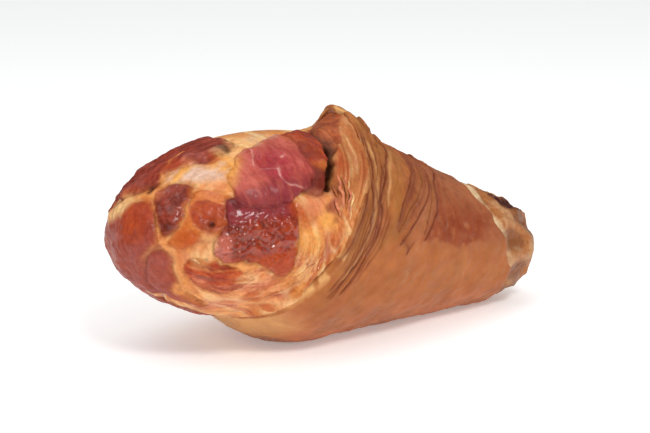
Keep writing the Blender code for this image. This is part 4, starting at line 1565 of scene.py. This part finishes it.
def knuckle_places(settings):
    """Rings from inside the sleeve to the tip, with folds of fat and sinew."""
    theta = np.linspace(0, 2 * math.pi, KNUCKLE_COLUMNS, endpoint=False)[None, :]
    share = np.linspace(0, 1, KNUCKLE_ROWS)[:, None]
    x = KNUCKLE[0, 0] + (KNUCKLE[-1, 0] - KNUCKLE[0, 0]) * (1 - (1 - share) ** 1.35)
    theta, x = theta + 0 * x, x + 0 * theta
    half_width = along_sections(KNUCKLE, x, 1)
    half_height = along_sections(KNUCKLE, x, 2)
    centre = along_sections(KNUCKLE, x, 3)
    level = centre + half_height * np.sin(theta)
    spot = np.stack([x, -half_width * np.cos(theta), level], axis=-1)
    degrees = turned(theta, 0.0)
    folds = 0.9 - 1.3 * np.abs(ripple(spot * (0.5, 1.0, 1.0), 8.5, 301))
    lumps = mottle(spot, 7.0, 302)
    relief = settings.fold / MM * (0.8 * folds + 0.35 * lumps)
    edge = np.interp(degrees, HOCK_EDGE[:, 0], HOCK_EDGE[:, 1])
    scab = bell(degrees - 70, 8.0 + 0.3 * (x - 84)) * smoothstep((x - 84) / 6.0)
    scab *= smoothstep((112 - x) / 3.0) * smoothstep(0.9 + 0.6 * mottle(spot, 4.0, 303))
    relief += scab * (0.3 + 0.4 * ripple(spot, 2.2, 304))
    paint = np.zeros(theta.shape + (3,)) + np.array(settings.tan)
    lay(paint, 0.25 * smoothstep(0.6 * lumps), settings.cream)
    width = 3.6 + 7.0 * bell(degrees - 72, 26.0)
    fatty = smoothstep((edge + width - x) / 4.0) * smoothstep((degrees + 30) / 30.0)
    fatty *= 0.45 + 0.55 * smoothstep((degrees - 10) / 30.0)
    lay(paint, 0.9 * fatty, settings.cream)
    # Painted shade: dark in the folds' valleys.
    lay(paint, 0.35 * smoothstep(-0.2 - 1.2 * folds), settings.scab)
    dried = bell(degrees - 66, 9.0 + 0.25 * (x - 84)) * smoothstep((x - 87) / 6.0)
    lay(paint, 0.9 * dried * smoothstep((114 - x) / 4.0), settings.scab)
    lay(paint, 0.9 * scab, settings.scab)
    # A near-black patch low on the near side, in the scab's colour.
    under = bell(degrees + 46, 12.0) * bell(x - 98, 7.0)
    lay(paint, 0.75 * under, settings.scab)
    half_width, half_height = half_width + relief, half_height + relief
    up = np.maximum(centre + half_height * np.sin(theta), 0.0)
    body = np.stack([x, -half_width * np.cos(theta), up], axis=-1)
    start = np.array((KNUCKLE[0, 0] - KNUCKLE_ROOT_INSET, 0.0, KNUCKLE_ROOT_HEIGHT))
    start = np.broadcast_to(start, (1, KNUCKLE_COLUMNS, 3))
    stop = np.array((KNUCKLE_TIP, 0.0, KNUCKLE[-1, 3]))
    stop = np.broadcast_to(stop, (1, KNUCKLE_COLUMNS, 3))
    places = np.concatenate([start, body, stop])
    last = np.broadcast_to(paint[-1].mean(0), paint[-1:].shape)
    paint = np.concatenate([paint[:1], paint, last])
    rough = 0.46 + 0.05 * lumps
    rough = np.concatenate([rough[:1], rough, rough[-1:]])
    flow = places * (0.3, 1.0, 1.0)
    return places, {"paint": paint, "rough": rough, "flow": flow, "grain": 0.25 + 0 * rough}


class PORKSHANK_OT_knuckle(bpy.types.Operator):
    """Builds the knuckle of fat and sinew at the narrow end"""

    bl_idname = "pork_shank.knuckle"
    bl_label = "Knuckle"

    def execute(self, context):
        places, finish = knuckle_places(context.scene.pork_shank.knuckle)
        material = cured_flesh()
        material.name = "smoked fat and sinew"
        settle(drawn_sphere("knuckle", places, finish), material)
        return {"FINISHED"}


# ---------------------------------------------------------------- the studio

# The camera: turn and height in degrees, lens and sensor in millimetres, and in metres the width
# that it sees and where it aims.
CAMERA_TURN = -36.0
CAMERA_HEIGHT = 12.0
CAMERA_LENS = 105.3
SENSOR = 36.0
VIEW_WIDTH = 0.325
AIM_RIGHT = -0.0065
AIM_UP = 0.0052
AIM_LEVEL = 0.05

# Strength of the room's light where it would only haze the shine.
DARK_CORNER = 0.12

# Width of the floor in metres, and how strongly it glows.
FLOOR_WIDTH = 8.0
FLOOR_GLOW = 0.25

# Soft lights: name, turn round the object and height in degrees, distance and size in metres.
LIGHTS = (
    ("key", -85.0, 55.0, 1.3, (0.8, 0.6)),
    ("top", 160.0, 78.0, 1.1, (0.8, 0.5)),
    ("front", -14.0, 44.0, 1.5, (0.50, 0.30)),
)


def direction(turn, height):
    """From the object towards a place at a turn round it and a height, in degrees."""
    a, e = math.radians(turn), math.radians(height)
    return Vector((math.sin(a) * math.cos(e), -math.cos(a) * math.cos(e), math.sin(e)))


def add_soft_light(name, turn, height, distance, size, power):
    """Adds a rectangle of light that faces the object."""
    light = bpy.data.lights.new(name, "AREA")
    light.shape = "RECTANGLE"
    light.size, light.size_y = size
    light.energy = power
    lamp = bpy.data.objects.new(name, light)
    bpy.context.scene.collection.objects.link(lamp)
    towards = direction(turn, height)
    lamp.location = Vector((0.0, 0.0, AIM_LEVEL)) + towards * distance
    lamp.rotation_euler = towards.to_track_quat("Z", "Y").to_euler()


def light_table(shade):
    """Opal acrylic lit from below: matt and white, so only a thin shadow shows on it."""
    material = bpy.data.materials.new("opal acrylic light table")
    material.use_nodes = True
    shader = material.node_tree.nodes["Principled BSDF"]
    shader.inputs["Base Color"].default_value = tuple(shade) + (1.0,)
    shader.inputs["Roughness"].default_value = 0.9
    shader.inputs["Specular IOR Level"].default_value = 0.1
    shader.inputs["Emission Color"].default_value = (1.0, 1.0, 1.0, 1.0)
    shader.inputs["Emission Strength"].default_value = FLOOR_GLOW
    return material


def white_room(strength):
    """An even white room: pure white where it is seen, and dark in the shine of the meat."""
    world = bpy.data.worlds.new("white room")
    world.use_nodes = True
    tree = world.node_tree
    glow = tree.nodes["Background"]
    glow.inputs["Color"].default_value = (1.0, 1.0, 1.0, 1.0)
    path = add_node(tree, "LightPath", {}, {})
    even = add_node(
        tree,
        "MapRange",
        {},
        {"Value": path.outputs["Is Glossy Ray"], "To Min": strength, "To Max": DARK_CORNER},
    )
    level = add_node(
        tree,
        "MapRange",
        {},
        {"Value": path.outputs["Is Camera Ray"], "To Min": even.outputs[0], "To Max": 1.0},
    )
    tree.links.new(level.outputs[0], glow.inputs["Strength"])
    return world


class PORKSHANK_OT_studio(bpy.types.Operator):
    """Adds the pale floor, the soft lights and the camera"""

    bl_idname = "pork_shank.studio"
    bl_label = "Studio"

    def execute(self, context):
        settings = context.scene.pork_shank.studio
        deselect_all()
        bpy.ops.mesh.primitive_plane_add(size=FLOOR_WIDTH)
        floor = context.object
        floor.name = floor.data.name = "floor"
        floor.data.materials.append(light_table(settings.floor))
        for name, turn, height, distance, size in LIGHTS:
            power = getattr(settings, name + "_power")
            add_soft_light(name, turn, height, distance, size, power)
        context.scene.world = white_room(settings.sky)
        context.scene.view_settings.view_transform = "Standard"
        towards = direction(CAMERA_TURN, CAMERA_HEIGHT)
        heading = math.radians(CAMERA_TURN)
        right = Vector((math.cos(heading), math.sin(heading), 0.0))
        up = towards.cross(right)
        aim = Vector((CENTRE_SHIFT[0] * MM, 0.0, AIM_LEVEL)) + right * AIM_RIGHT + up * AIM_UP
        lens = bpy.data.cameras.new("camera")
        lens.lens = CAMERA_LENS
        lens.sensor_width = SENSOR
        lens.clip_start = 0.01
        camera = bpy.data.objects.new("camera", lens)
        context.scene.collection.objects.link(camera)
        camera.location = aim + towards * (CAMERA_LENS / SENSOR * VIEW_WIDTH)
        camera.rotation_euler = towards.to_track_quat("Z", "Y").to_euler()
        context.scene.camera = camera
        return {"FINISHED"}


class VIEW3D_PT_pork_shank(bpy.types.Panel):
    """Lists the pieces and what a user would change"""

    bl_label = "Pork Shank"
    bl_space_type = "VIEW_3D"
    bl_region_type = "UI"
    bl_category = "Pork Shank"

    def draw(self, context):
        layout = self.layout
        settings = context.scene.pork_shank
        parts = (
            (PORKSHANK_OT_flesh, settings.flesh),
            (PORKSHANK_OT_shreds, None),
            (PORKSHANK_OT_rind, settings.rind),
            (PORKSHANK_OT_knuckle, settings.knuckle),
            (PORKSHANK_OT_studio, settings.studio),
        )
        for operator, group in parts:
            box = layout.box()
            box.operator(operator.bl_idname)
            for key in group.__annotations__ if group else ():
                box.prop(group, key)


CLASSES = (
    FleshSettings,
    RindSettings,
    KnuckleSettings,
    StudioSettings,
    ShankSettings,
    PORKSHANK_OT_flesh,
    PORKSHANK_OT_shreds,
    PORKSHANK_OT_rind,
    PORKSHANK_OT_knuckle,
    PORKSHANK_OT_studio,
    VIEW3D_PT_pork_shank,
)


def register():
    for each in CLASSES:
        bpy.utils.register_class(each)
    bpy.types.Scene.pork_shank = bpy.props.PointerProperty(type=ShankSettings)


def unregister():
    del bpy.types.Scene.pork_shank
    for each in reversed(CLASSES):
        bpy.utils.unregister_class(each)


def main():
    register()
    bpy.ops.pork_shank.studio()
    bpy.ops.pork_shank.flesh()
    bpy.ops.pork_shank.shreds()
    bpy.ops.pork_shank.rind()
    bpy.ops.pork_shank.knuckle()


if __name__ == "__main__":
    main()
